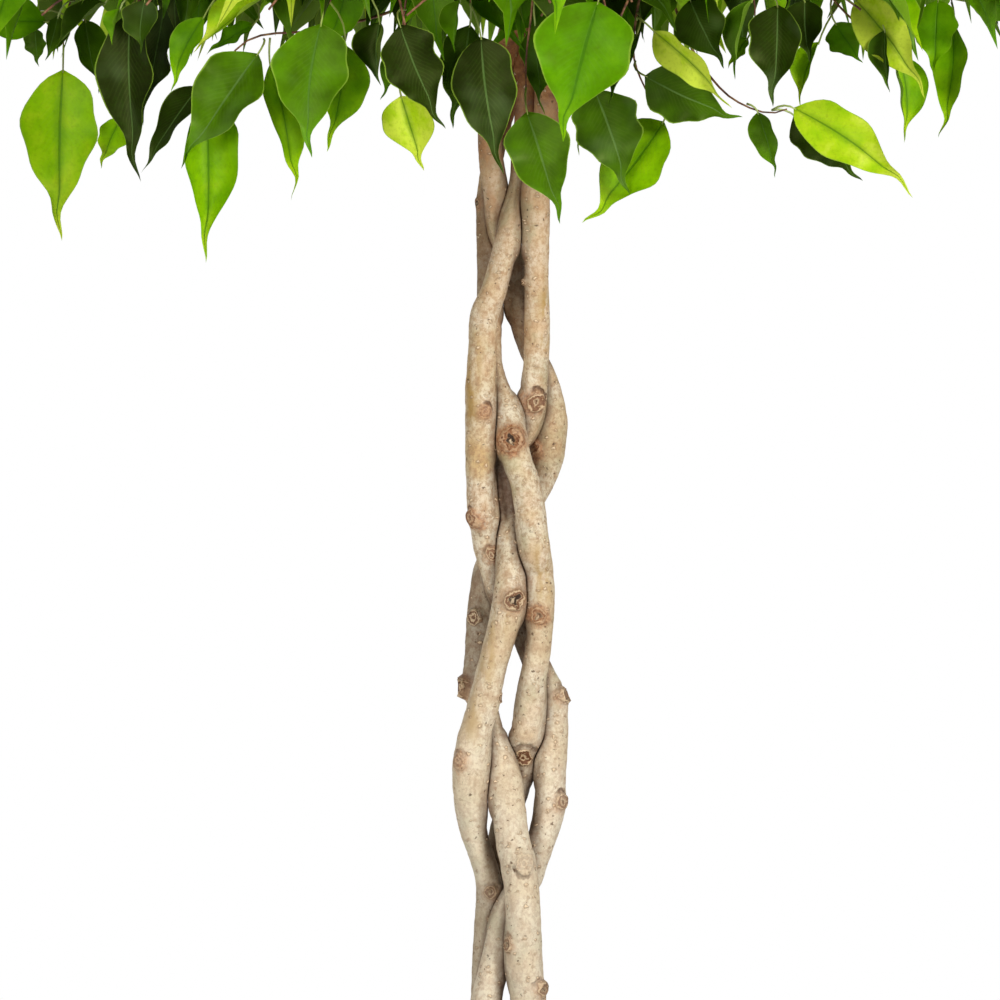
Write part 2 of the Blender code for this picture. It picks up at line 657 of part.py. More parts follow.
def front_sprays(stems, room):
    sprays = []
    for number, (twig, leaves) in enumerate(FRONT_SPRAYS):
        twig = [at(*place) for place in twig]
        name = "c" if twig[0].x < 0 else "a"
        row = LIMB_ROW - LIMB_STEP * (number if name == "c" else len(FRONT_SPRAYS) - number)
        spray = Spray(limb_to(stems, twig, row, name), name, twig)
        for col, line, tip_col, tip_line, width, depth, turn, lean in leaves:
            for shift in (0, -10, 10, -20, 20, -32, 32, -46, 46, -60, 60):
                base = at(col, line, depth + shift)
                tip = at(tip_col, tip_line, depth + shift + lean)
                axis = (tip - base).normalized()
                face = Vector((0, -1, 0.25))
                face = (face - axis * face.dot(axis)).normalized()
                face = Matrix.Rotation(math.radians(turn), 3, axis) @ face
                root = spray.nearest(base - axis * STALK_LONG)
                leaf = Leaf(root, base, tip, face, width * PX)
                if has_room(leaf, spray, room):
                    take_leaf(leaf, spray, room)
                    break
        sprays.append(spray)
    return sprays


def has_room(leaf, spray, room):
    own = pipe(spray.twig, radii_between(TWIG_THICK, len(spray.twig)))
    blade = leaf.solid(LEAF_THICK + TEST_SPARE, start=0.05)
    whole = leaf.solid(LEAF_THICK + TEST_SPARE)
    if not room.free(*whole, skip=(id(spray),)) or not room.free(*blade):
        return False
    return not BVHTree.FromPolygons([tuple(p) for p in blade[0]], blade[1]).overlap(
        BVHTree.FromPolygons([tuple(p) for p in own[0]], own[1])
    )


def take_leaf(leaf, spray, room):
    room.add(*leaf.solid(LEAF_THICK), id(spray))
    spray.leaves.append(leaf)


def tier_sprays(stems, room, chance):
    """Sprays by rule: a limb rises out of the nearest stem and its twig arches out and droops."""
    sprays = []
    for height, root, reach, count, start, sweep in TIERS:
        spread = TIER_SPREAD if sweep == 360 and height < 1.3 else TIER_SPREAD / 3
        for number in range(count):
            for _ in range(TRIES):
                angle = math.radians(start + sweep * (number + chance.uniform(-0.16, 0.16)) / count)
                out = Vector((math.cos(angle), math.sin(angle), 0))
                tip_z = height + chance.uniform(-1, 1) * spread
                radius = crown_radius(tip_z)
                end = out * radius * reach * chance.uniform(0.94, 1.02)
                end.z = tip_z - TWIG_DROP / 2
                begin = out * radius * root
                begin.z = tip_z - TWIG_DROP * (0.6 - root)
                bend = begin.lerp(end, 0.55) + Vector((0, 0, TWIG_ARCH))
                twig = bezier(begin, bend, end, 4)
                name = nearest_stem(stems, begin)
                centre_z = min(max(begin.z - 0.05 - 0.4 * radius * root, 0.93), 1.27)
                row = MID_ROW - (centre_z - MID_Z) / PX
                spray = Spray(limb_to(stems, twig, row, name), name, twig)
                if spray_has_room(spray, room):
                    break
            else:
                continue
            take_twig(spray, room)
            grow_leaves(spray, number, room, chance)
            sprays.append(spray)
    return sprays


def nearest_stem(stems, point):
    """The stem whose leader stands on this side of the crown."""
    row = np.array([-500.0])
    toward = point.xy.normalized()
    return max(stems, key=lambda name: stem_path(stems[name], row)[0][0].xy.normalized().dot(toward))


def spray_has_room(spray, room):
    radii = [r + 0.0012 for r in radii_between(TWIG_THICK, len(spray.twig))]
    limb = [r + 0.0012 for r in radii_between(LIMB_THICK, len(spray.limb))]
    twig_free = room.free(*pipe(spray.twig, radii))
    return twig_free and room.free(*pipe(spray.limb, limb), skip=("stem_" + spray.stem,))


def take_twig(spray, room):
    room.add(*pipe(spray.twig, radii_between(TWIG_THICK, len(spray.twig))), id(spray))
    room.add(*pipe(spray.limb, radii_between(LIMB_THICK, len(spray.limb))), "stem_" + spray.stem)


def grow_leaves(spray, number, room, chance):
    """Leaves in a spiral along the twig, with the last one at its end, hanging by their own weight."""
    for place in range(SPRAY_LEAVES):
        share = 0.24 + 0.74 * place / (SPRAY_LEAVES - 1)
        root = spray.point(share)
        ahead = (spray.point(min(share + 0.05, 1)) - spray.point(share - 0.05)).normalized()
        across = ahead.cross(Vector((0, 0, 1))).normalized()
        for _ in range(TRIES):
            side = across * (1 if (place + number) % 2 else -1)
            spin = math.radians(chance.uniform(-50, 50))
            side = Matrix.Rotation(spin, 3, ahead) @ side
            last = place == SPRAY_LEAVES - 1
            heading = side * (0.25 if last else 0.75) + ahead * (0.9 if last else 0.5)
            stalk = (heading + Vector((0, 0, -0.15))).normalized()
            droop = chance.uniform(0.7, 2.4)
            axis = (heading + Vector((0, 0, -droop))).normalized()
            length = chance.uniform(*LEAF_LONG)
            base = root + stalk * STALK_LONG
            tip = base + axis * length
            outward = Vector((tip.x, tip.y, 0.35 + 0.9 * (tip.z - CROWN_Z)))
            face = Matrix.Rotation(math.radians(chance.uniform(-32, 32)), 3, axis) @ outward
            leaf = Leaf(root, base, tip, face, length * LEAF_WIDE * chance.uniform(0.92, 1.06))
            if fits_crown(leaf) and has_room(leaf, spray, room):
                take_leaf(leaf, spray, room)
                break


def fits_crown(leaf):
    reach = max(math.hypot(leaf.tip.x, leaf.tip.y), math.hypot(leaf.base.x, leaf.base.y))
    inside = reach < crown_radius(leaf.tip.z) * 1.03 + 0.004
    return inside and row_of(leaf.tip) < LOW_ROW and row_of(leaf.base) < LOW_ROW


def lay_out():
    """Everything that grows: the stems' samples, and the sprays with their limbs and leaves."""
    chance = random.Random(SEED)
    stems = stem_samples()
    room = Room()
    for name, sample in stems.items():
        centre, radii = stem_path(sample, ring_rows(sample[0][0]))
        room.add(*pipe(centre, radii * 1.04, 8), "stem_" + name)
    fringe = front_sprays(stems, room)
    for spray in fringe:
        take_twig(spray, room)
    return stems, fringe + tier_sprays(stems, room, chance)


def scar_stub(stems, stem, col, row, radius, height, turn):
    """A short pruned stub that stands out of a stem, its foot sunk into the wood."""
    centre, radii = stem_path(stems[stem], np.array([float(row)]))
    out = Vector((math.sin(math.radians(turn)), -math.cos(math.radians(turn)), 0.1)).normalized()
    deep = radii[0] * 0.55
    top = radii[0] * 0.93 + height * PX
    upright = out.to_track_quat("Z", "Y").to_matrix().to_4x4()
    place = Matrix.Translation(centre[0] + out * (deep + top) / 2) @ upright
    work = bmesh.new()
    bmesh.ops.create_cone(
        work, cap_ends=True, segments=SCAR_SIDES, radius1=radius * PX * 1.15, radius2=radius * PX * 0.72,
        depth=top - deep, matrix=place,
    )
    mesh = bpy.data.meshes.new("scar")
    work.to_mesh(mesh)
    work.free()
    return new_object(f"scar_{stem}_{row}", mesh)


def make_stem(stems, name, sprays):
    centre, radii = stem_path(stems[name], ring_rows(stems[name][0][0]))
    foot = centre[-2].copy()
    foot.z = HOLE_FOOT_Z
    centre[-1] = foot
    obj = tube("stem_" + name, centre, radii, STEM_SIDES)
    pieces = []
    for number, spray in enumerate(sprays):
        if spray.stem == name:
            radii = radii_between(LIMB_THICK, len(spray.limb))
            pieces.append(tube(f"limb_{name}_{number}", spray.limb, radii, LIMB_SIDES))
    pieces += [scar_stub(stems, *scar) for scar in SCARS if scar[0] == name]
    combine(obj, pieces, "UNION", "MANIFOLD")
    return obj, foot


def make_spray(name, spray):
    obj = tube(name, spray.twig, radii_between(TWIG_THICK, len(spray.twig)), TWIG_SIDES)
    blades = []
    for number, leaf in enumerate(spray.leaves):
        points, faces = leaf.solid(LEAF_THICK)
        mesh = bpy.data.meshes.new(name)
        mesh.from_pydata([tuple(p) for p in points], [], faces)
        work = bmesh.new()
        work.from_mesh(mesh)
        bmesh.ops.recalc_face_normals(work, faces=work.faces)
        work.to_mesh(mesh)
        work.free()
        blades.append(new_object(f"{name}_leaf_{number}", mesh))
    combine(obj, blades, "UNION", "MANIFOLD")
    return obj


def linear(value):
    """One channel of an sRGB colour, 0 to 255, as linear light."""
    share = value / 255
    return share / 12.92 if share <= 0.04045 else ((share + 0.055) / 1.055) ** 2.4


def material(name, code, roughness):
    made = bpy.data.materials.new(name)
    made.use_nodes = True
    shader = made.node_tree.nodes["Principled BSDF"]
    colour = [linear(int(code[i : i + 2], 16)) for i in (1, 3, 5)]
    shader.inputs["Base Color"].default_value = (*colour, 1)
    shader.inputs["Roughness"].default_value = roughness
    shader.inputs["Metallic"].default_value = 0.0
    made.diffuse_color = (*colour, 1)
    return made


def finish(obj, collection, surface, smooth):
    obj.data.materials.clear()
    obj.data.materials.append(surface)
    for face in obj.data.polygons:
        face.use_smooth = smooth
        face.material_index = 0
    bpy.context.scene.collection.objects.unlink(obj)
    collection.objects.link(obj)


def main():
    for obj in list(bpy.data.objects):
        bpy.data.objects.remove(obj)
    plant = bpy.data.collections.new("potted_weeping_fig")
    bpy.context.scene.collection.children.link(plant)
    plastic = material("pot_plastic", "#2E3032", 0.6)
    earth = material("potting_soil", "#3B2A1D", 0.95)
    bark = material("bark", "#CBB893", 0.75)
    leaf = material("leaf", "#3F7D1B", 0.35)

    stems, sprays = lay_out()
    feet = []
    for name in sorted(stems):
        obj, foot = make_stem(stems, name, sprays)
        feet.append((foot, STEMS[name][-3][3] * PX))
        finish(obj, plant, bark, True)
    finish(make_pot(), plant, plastic, True)
    finish(make_soil(feet), plant, earth, False)
    for number, spray in enumerate(sprays):
        finish(make_spray(f"spray_{number + 1:02d}", spray), plant, leaf, False)
    total = 0
    for obj in plant.objects:
        obj.data.calc_loop_triangles()
        total += len(obj.data.loop_triangles)
    print(len(plant.objects), "pieces,", total, "triangles,", sum(len(s.leaves) for s in sprays), "leaves")


main()
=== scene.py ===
"""Looks of the potted weeping fig: bark, veined leaves, twigs, crumbly soil and a moulded pot.

Metres. +X is right, +Y is away from the front and +Z is up; the origin is the middle of the pot's flat foot.
The stems, twigs and main leaves follow the same measurements as the part's source, and are made finer here.
"""

import json
import math
import random

import bmesh
import bpy
import numpy as np
from mathutils import Matrix, Quaternion, Vector, noise
from mathutils.bvhtree import BVHTree
from mathutils.kdtree import KDTree

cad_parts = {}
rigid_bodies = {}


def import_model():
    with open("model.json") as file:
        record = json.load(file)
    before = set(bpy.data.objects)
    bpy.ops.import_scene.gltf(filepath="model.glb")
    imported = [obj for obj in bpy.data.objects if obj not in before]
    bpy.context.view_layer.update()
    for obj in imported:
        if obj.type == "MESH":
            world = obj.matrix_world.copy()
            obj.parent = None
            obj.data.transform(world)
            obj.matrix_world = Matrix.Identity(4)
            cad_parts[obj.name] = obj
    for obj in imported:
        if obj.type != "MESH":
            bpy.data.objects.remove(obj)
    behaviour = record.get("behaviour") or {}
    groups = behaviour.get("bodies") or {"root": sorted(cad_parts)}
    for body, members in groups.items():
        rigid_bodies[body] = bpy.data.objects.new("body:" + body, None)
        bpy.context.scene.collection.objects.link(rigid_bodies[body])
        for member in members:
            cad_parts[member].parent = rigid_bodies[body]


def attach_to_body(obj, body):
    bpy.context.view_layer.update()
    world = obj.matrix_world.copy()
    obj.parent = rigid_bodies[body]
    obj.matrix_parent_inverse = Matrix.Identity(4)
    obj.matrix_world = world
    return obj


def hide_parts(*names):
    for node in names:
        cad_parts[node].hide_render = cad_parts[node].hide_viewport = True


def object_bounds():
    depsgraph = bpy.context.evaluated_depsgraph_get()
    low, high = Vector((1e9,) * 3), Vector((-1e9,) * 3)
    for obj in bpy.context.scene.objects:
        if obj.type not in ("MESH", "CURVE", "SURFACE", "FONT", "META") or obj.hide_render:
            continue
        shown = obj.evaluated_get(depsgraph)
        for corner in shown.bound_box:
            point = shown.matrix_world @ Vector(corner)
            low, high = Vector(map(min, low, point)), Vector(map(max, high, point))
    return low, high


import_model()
cad_box = [list(corner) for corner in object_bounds()]

# Reference view: columns and rows are those of a level, long-lens front view of the trunk, 1000 by 1000.
PX = 0.00055  # one pixel at the trunk
MID_COL = 500.0
MID_ROW = 500.0
MID_X = -0.0055  # what the middle column and row look at
MID_Z = 0.605
EYE_DIST = 2.6  # from the eye to the trunk

GAP = 0.0003  # between two pieces that touch
BOX_MARGIN = 0.0005  # round a piece whose box is tried against those of others
MOST_PIECES = 8000  # that are tried for room

# Pot
POT_HEIGHT = 0.245
POT_FOOT_R = 0.100
POT_NECK_R = 0.1275  # under the collar
POT_COLLAR_R = 0.1335
POT_RIM_R = 0.1385
POT_COLLAR_Z = 0.216
POT_WALL = 0.0028
POT_FLOOR = 0.0040
DRAIN_COUNT = 6
DRAIN_RADIUS = 0.006
DRAIN_CIRCLE = 0.066

# Soil
SOIL_Z = 0.212  # at the wall
SOIL_DOME = 0.008  # how much higher it is at the stems
HOLE_FOOT_Z = 0.118

# Stems: column, row, depth and radius in view pixels, from the leader's tip down to the root.
# Depth runs away from the eye; the columns and radii are measured, the depths keep the order of the braid.
STEMS = {
    "a": (
        (588, -740, -92, 5.0), (581, -600, -84, 6.2), (570, -450, -68, 7.4), (557, -320, -47, 8.4),
        (545, -210, -28, 9.2), (536, -120, -15, 10), (532, -80, -10, 10.5), (528, -40, -6, 11),
        (519, 0, -11, 11), (507, 40, -14, 11), (497, 80, -14, 11), (490, 120, -10, 11.5),
        (491, 161, -6, 12), (495.5, 196, 2, 11.6), (503, 235, 10, 12), (512, 253, 13, 12),
        (515, 291, 14, 12), (526, 335, 16, 12.5), (536, 360, 17, 12.5), (544, 377, 18, 12.6),
        (550, 397, 22, 13), (551.5, 413, 24, 16), (549, 441, 16, 17.4), (545, 471, 10, 15.6),
        (534, 492, 10, 15), (513, 530, 18, 14.5), (492, 560, 18, 15), (486, 581, 14, 14.5),
        (481, 622, 10, 14), (478, 662, 10, 14), (478, 690, 10, 14), (487, 716, 7, 12.8),
        (493, 741, 3, 12.6), (500.5, 762, 1, 13.8), (505, 782, -9, 18), (508, 806, -16, 16.8),
        (512.5, 840, -16, 17), (518.5, 865, -16, 17.5), (523.4, 921, -16, 17.4), (524, 962, -16, 18),
        (528, 1000, -16, 17.8), (535, 1060, -18, 18), (540, 1130, -24, 18.5), (541, 1209, -30, 19),
        (541, 1300, -30, 18.5), (541, 1384, -30, 17.5),
    ),
    "b": (
        (430, -740, 90, 5.0), (436, -600, 82, 6.2), (448, -450, 66, 7.4), (463, -320, 46, 8.4),
        (477, -210, 29, 9.2), (488, -120, 16, 10), (492, -70, 14, 10.5), (503, -10, 12, 10.5),
        (515, 30, 10, 10.5), (524, 70, 8, 11), (526, 110, 6, 11), (521.5, 150, 5, 10),
        (521.5, 178, 6, 9.4), (519, 196, 3, 9.4), (513.5, 214, -5, 10.3), (509, 234, -10, 12),
        (504, 253, -12, 12.5), (499.5, 270, -14, 12.5), (492, 297, -14, 13), (484, 313, -13, 14.5),
        (483, 331, -12, 13.8), (482, 362, -11, 14.6), (479.5, 400, -13, 14), (480, 415, -12, 14.2),
        (480.5, 430, -9, 15), (480, 461, -7, 14.5), (480.5, 492, -6, 14), (482.5, 512, -5, 14.5),
        (484.5, 530, -2, 14), (486, 545, 2, 13.2), (489.5, 560, 6, 12.8), (495, 577, 9, 12.8),
        (505, 600, 11, 13), (520, 625, 12, 13), (526.5, 640, 12, 13), (535, 662, 10, 13),
        (546, 683, 7, 14), (553, 706, 9, 14.4), (553.5, 741, 6, 14.6), (552, 761, 2, 14.8),
        (550.5, 782, 0, 15.3), (549, 812, 2, 15.6), (541, 840, 4, 14.5), (534, 860, 7, 14),
        (527.5, 881, 10, 14), (515, 900, 10, 13.5), (504, 921, 7, 13.5), (497, 950, 3, 13),
        (489.5, 983, -2, 14.5), (486, 1010, -5, 16), (481, 1060, -12, 17.5), (479, 1130, -22, 18.5),
        (479, 1209, -30, 19), (479, 1300, -30, 18.5), (479, 1384, -30, 17.5),
    ),
    "c": (
        (434, -740, -94, 5.0), (441, -600, -85, 6.2), (452, -450, -69, 7.4), (466, -320, -49, 8.4),
        (478, -210, -32, 9.2), (490, -120, -18, 10), (502, -80, -19, 11), (518, -40, -22, 12),
        (533, 0, -18, 12), (543, 40, -10, 12), (547, 80, -4, 12), (546, 126, -4, 13),
        (540, 160, -8, 13.5), (536.5, 200, -14, 13.2), (537, 222, -13, 12.7), (536.5, 245, -10, 12.5),
        (536.5, 280, -8, 12), (537, 321, -8, 12.8), (536, 362, -8, 12.8), (533.5, 387, -7, 13.3),
        (531.5, 405, 0, 13.2), (527, 423, 6, 13.4), (517, 441, 11, 13.2), (508, 462, 12, 13),
        (505.5, 480, 10, 12.5), (507, 505, 6, 12), (510, 525, 2, 11.4), (511, 542, -4, 11.6),
        (510.5, 560, -8, 12.2), (509.5, 581, -10, 14.3), (508.5, 601, -12, 16), (504.5, 622, -14, 16),
        (499, 642, -16, 14.8), (493.5, 662, -16, 14.6), (488, 683, -15, 15), (482, 710, -14, 16),
        (475.5, 731, -12, 15.8), (471, 758, -9, 17.5), (469, 787, -6, 17), (471, 818, -2, 14.5),
        (475.5, 840, 0, 13), (485, 866, 3, 12.5), (489, 890, 6, 12.5), (488, 915, 8, 13),
        (485.5, 950, 11, 13), (484, 1000, 15, 13.5), (481, 1060, 20, 15.5), (479, 1130, 26, 18),
        (479, 1209, 30, 19), (479, 1300, 30, 18.5), (479, 1384, 30, 17.5),
    ),
    "d": (
        (584, -740, 94, 5.0), (578, -600, 85, 6.2), (568, -450, 69, 7.4), (555, -320, 48, 8.4),
        (545, -210, 31, 9.2), (538, -120, 18, 10), (535, -60, 18, 10), (531, 0, 17, 10),
        (520, 50, 18, 10), (508, 100, 18, 10), (495, 150, 15, 10), (486.5, 196, 12, 10),
        (487, 240, 13, 10.5), (489, 290, 14, 11.5), (489, 330, 13, 12.5), (489, 362, 14, 12.6),
        (493.5, 382, 12, 12.6), (502.5, 400, 7, 12.3), (509.5, 415, -5, 12.6), (512.5, 441, -16, 15),
        (517, 461, -15, 14.8), (524.5, 481, -16, 14.8), (528.5, 502, -16, 15.4), (533, 530, -14, 15.0),
        (537.5, 560, -12, 15.0), (541, 601, -9, 14.2), (540.5, 622, -8, 13.6), (539, 642, -6, 12.8),
        (536, 662, -4, 13), (532, 682, -3, 13.4), (529, 710, -5, 15.2), (525.5, 740, 2, 14.8),
        (521.5, 760, 19, 13.4), (517, 788, 18, 12.8), (508, 813, 17, 12.8), (500, 840, 17, 13),
        (498, 862, 17, 13), (501, 885, 18, 13), (507, 912, 18, 13), (516, 945, 17, 13),
        (526, 985, 16, 13.5), (534, 1030, 18, 15), (540, 1080, 22, 17), (541, 1140, 27, 18.5),
        (541, 1209, 30, 19), (541, 1300, 30, 18.5), (541, 1384, 30, 17.5),
    ),
}
SAMPLE_ROWS = 12.0  # spacing of the points that are pushed clear of each other
STEM_CLEAR = 2.2  # pixels left between two stems
PUSHES = 400
EASED_PUSHES = 0.7  # share of the pushes after which the depths are also eased,
PUSH_EASE = 0.12  # by this share of what would make them straight
PUSH_STEP = 0.25  # share of the lack of room that one push makes up
RING_STEP = 30.0  # rows between the rings of the braid
LEADER_STEP = 120.0  # rows between the rings inside the crown
ROOT_ROW = 1209.0
STEM_SPARE = 1.04  # by which a stem is thicker while other pieces are tried for room

# Leaves: blade outline as (share of length, share of half width), from the stalk to the drip tip.
LEAF_OUTLINE = ((0.09, 0.60), (0.40, 1.0), (0.72, 0.36))
LEAF_THICK = 0.0008
LEAF_FOLD = 0.16  # how far the edges rise over the midrib, as a share of the distance from it
STALK_WIDTH = 0.0013
LEAF_LONG = (0.074, 0.102)
LEAF_WIDE = 0.43  # width as a share of length
STALK_LONG = 0.013
TEST_SPARE = 0.0009  # extra thickness of a leaf while it is tried for room

# Sprays at the front of the lower fringe. Twig points are (column, row, depth); leaves are
# (column and row of the blade's base, column and row of its tip, width, depth, turn, lean back).
FRONT_SPRAYS = (
    (
        ((250, -95, -60), (165, -80, -90), (98, -40, -108), (66, 15, -112), (63, 52, -112)),
        (
            (63, 70, 62, 241, 74, -112, 4, 6), (46, 22, -62, 24, 52, -104, 20, 0),
            (35, 28, 39, 67, 26, -60, 30, 10), (58, 16, 45, 61, 28, -140, -40, 0),
            (106, 3, 52, 54, 34, -125, 38, -14), (85, 20, 99, 94, 38, -80, -32, 8),
        ),
    ),
    (
        (
            (290, -105, -150), (222, -88, -186), (168, -48, -212), (142, -4, -222),
            (124, 62, -214), (121, 100, -205),
        ),
        (
            (130, 13, 141, 182, 60, -236, 26, 6), (165, 7, 143, 126, 44, -196, 30, 14),
            (120, 9, 112, 45, 24, -250, 50, 0), (145, 0, 141, 54, 40, -262, 24, -4),
            (121, 118, 101, 169, 30, -200, -30, 4),
        ),
    ),
    (
        (
            (470, -70, -150), (412, 1, -208), (320, 30, -250), (245, 42, -266),
            (214, 78, -270), (207, 88, -270),
        ),
        (
            (206, 102, 206, 263, 66, -270, -12, 4), (258, 54, 181, 169, 68, -292, 14, -8),
            (199, 87, 141, 173, 46, -250, 40, 14), (270, 65, 291, 201, 44, -252, -36, 10),
        ),
    ),
    (
        ((350, -115, -215), (300, -88, -245), (252, -45, -268), (214, 0, -280)),
        (
            (260, 0, 193, 53, 44, -292, 34, -8), (204, 17, 171, 93, 36, -276, 30, 6),
            (254, 25, 206, 55, 32, -255, 42, 6),
        ),
    ),
    (
        ((425, -118, -235), (382, -78, -280), (345, -22, -306), (326, 8, -312)),
        (
            (321, 24, 312, 158, 72, -318, 8, 2), (345, 45, 327, 152, 50, -286, -30, 10),
            (380, 22, 381, 86, 40, -300, 36, 0),
        ),
    ),
    (
        ((472, -122, -225), (438, -78, -285), (410, -20, -318), (402, 36, -318), (400, 80, -312)),
        (
            (412, 53, 380, 100, 40, -330, 36, -10), (400, 25, 446, 129, 56, -336, 22, -6),
            (401, 96, 424, 171, 58, -300, 6, 4),
        ),
    ),
    (
        ((500, -118, -230), (484, -70, -288), (472, -16, -318), (470, 6, -320)),
        (
            (460, 0, 455, 53, 30, -350, 44, -8), (470, 25, 453, 129, 50, -316, 28, 12),
            (481, 37, 504, 175, 60, -338, 10, 2),
        ),
    ),
    (
        ((536, -112, -225), (535, -62, -290), (532, 8, -322), (526, 62, -318), (526, 94, -314)),
        (
            (535, 23, 545, 115, 34, -292, 46, 16), (527, 112, 560, 224, 60, -318, 10, 4),
        ),
    ),
    (
        ((582, -108, -220), (600, -60, -290), (602, -12, -318), (608, 40, -296), (598, 72, -286)),
        (
            (598, 2, 563, 142, 92, -348, 4, -4), (595, 90, 630, 195, 64, -286, 14, 6),
            (572, 90, 579, 156, 30, -262, -40, 8),
        ),
    ),
    (
        ((650, -100, -205), (652, -52, -250), (638, 6, -264), (634, 58, -264), (654, 107, -262)),
        (
            (664, 122, 582, 223, 66, -262, 12, 6), (645, 76, 743, 117, 54, -292, 30, 4),
            (654, 31, 732, 108, 42, -318, 58, -6), (637, 34, 608, 107, 42, -300, 40, 0),
        ),
    ),
    (
        ((660, -95, -180), (680, -45, -222), (722, -12, -244), (752, -4, -250), (755, 26, -250)),
        (
            (690, 0, 724, 69, 52, -262, 24, -4), (752, 0, 735, 80, 34, -272, 58, 0),
            (748, 38, 728, 69, 22, -246, 40, 6), (778, 5, 773, 107, 54, -252, 20, 2),
            (805, 0, 810, 63, 48, -240, 24, 6),
        ),
    ),
    (
        (
            (640, -84, -120), (672, 0, -168), (705, 70, -190), (736, 101, -200),
            (779, 112, -208), (787, 109, -208),
        ),
        (
            (794, 108, 913, 198, 50, -220, 16, -6), (794, 115, 863, 181, 46, -196, 30, 10),
            (758, 112, 775, 178, 32, -206, 44, 4),
        ),
    ),
    (
        ((760, -110, -95), (806, -58, -125), (834, 0, -138), (870, 34, -140), (890, 48, -140)),
        (
            (856, 0, 925, 99, 48, -156, 24, -6), (899, 55, 904, 143, 40, -140, -24, 6),
            (885, 30, 890, 93, 30, -168, 46, 0), (835, 23, 863, 63, 36, -124, 34, 6),
            (819, 42, 800, 108, 32, -134, 40, 4),
        ),
    ),
    (
        ((862, -112, -40), (915, -75, -62), (946, -30, -72), (953, 10, -74)),
        (
            (938, 0, 936, 79, 44, -92, 18, -4), (954, 25, 938, 138, 42, -74, 38, 4),
            (971, 2, 1046, 12, 36, -70, 20, 0),
        ),
    ),
)

DEPTH_SHIFTS = (0, -10, 10, -20, 20, -32, 32, -46, 46, -60, 60)  # tried in turn where a leaf has no room

# Crown: its outline in height, and the tiers of sprays that fill it.
CROWN_Z = 1.07
CROWN_UP = 0.39
CROWN_DOWN = 0.33
CROWN_R = 0.345
CROWN_POWER = 2.6
# Height of a tier's twig tips, how far out its twigs begin and end as a share of the crown's radius, how
# many sprays there are, and the arc (start and sweep in degrees, from +X towards +Y) they are spread over.
TIERS = (
    (0.965, 0.42, 0.84, 4, 30, 140), (1.045, 0.42, 0.86, 7, 12, 360), (1.155, 0.42, 0.86, 7, 38, 360),
    (1.270, 0.42, 0.86, 6, 5, 360), (1.395, 0.20, 0.62, 4, 50, 360),
)
TWIG_ARCH = 0.075  # how far a twig bends up before it droops
TWIG_DROP = 0.10
TIER_SPREAD = 0.03  # how far a twig's tip may be above or below its tier
SPRAY_LEAVES = 5
LOW_ROW = 44.0  # leaves of the tiers keep above this row of the view
TRIES = 40
# How leaves placed by rule grow: degrees that they stray round the twig, how far sideways the last leaf of
# a twig heads, range of lengths and the last leaf's share of it, range of the stalk's length, how far the
# face turns up, more so with height, and to the front, degrees of roll, and range of widths.
MAIN_HABIT = (50, 0.25, LEAF_LONG, 1.0, None, (0.35, 0.9, 0.0), 32, (0.92, 1.06))
MAIN_DROOP = (0.7, 2.4)
SEED = 11

LIMB_ROW = -150  # where the lowest front limb leaves its stem
LIMB_STEP = 17
LIMB_LOW_Z = 0.93  # limbs of the tiers leave their stems between these heights
LIMB_HIGH_Z = 1.27
LEADER_ROW = -500.0  # where the stems stand apart in the crown
LIMB_THICK = (0.0042, 0.0021)
TWIG_THICK = (0.0017, 0.0009)
TWIG_SPARE = 0.0012  # extra radius of a twig or limb while it is tried for room

# Looks of the front leaves, in the order of FRONT_SPRAYS: tone, from 0 for old and dark to 1 for young and
# yellow, the form of the blade, and how far its middle bows to the side, as a share of its length.
FRONT_LOOKS = (
    (
        (0.84, "flat", 0.015), (0.66, "arched", -0.03), (0.34, "waved", 0), (0.30, "cupped", 0),
        (0.24, "folded", 0.03), (0.36, "swayed", 0.05),
    ),
    (
        (0.0, "creased", 0.02), (0.06, "waved", -0.02), (0.66, "folded", 0), (0.20, "arched", 0.02),
        (0.80, "waved", 0.05),
    ),
    ((0.80, "rolled", -0.01), (0.42, "creased", 0), (0.10, "arched", -0.05), (0.78, "swayed", -0.02)),
    ((0.90, "folded", -0.02), (0.68, "swayed", 0.04), (0.62, "waved", 0)),
    ((0.48, "flat", 0.055), (0.74, "creased", -0.02), (0.14, "rolled", 0.06)),
    ((0.36, "arched", 0), (0.04, "waved", 0.02), (0.97, "folded", 0)),
    ((0.46, "folded", 0.01), (0.26, "waved", -0.03), (0.04, "flat", 0.03)),
    ((0.34, "waved", 0), (0.42, "arched", -0.015)),
    ((0.60, "wide", 0.01), (0.34, "waved", -0.02), (0.84, "folded", 0)),
    ((0.80, "swayed", -0.05), (0.32, "waved", 0.03), (1.0, "creased", -0.07), (0.30, "cupped", 0)),
    (
        (0.20, "arched", 0), (0.44, "folded", 0.03), (0.82, "waved", 0), (0.10, "creased", -0.02),
        (0.12, "cupped", 0.02),
    ),
    ((0.92, "arched", -0.05), (0.12, "waved", -0.03), (0.46, "swayed", -0.07)),
    (
        (1.0, "arched", -0.05), (0.80, "rolled", -0.05), (0.30, "folded", 0), (0.56, "waved", 0),
        (0.82, "folded", 0.04),
    ),
    ((0.66, "waved", 0.01), (0.76, "swayed", -0.09), (0.54, "folded", 0)),
)

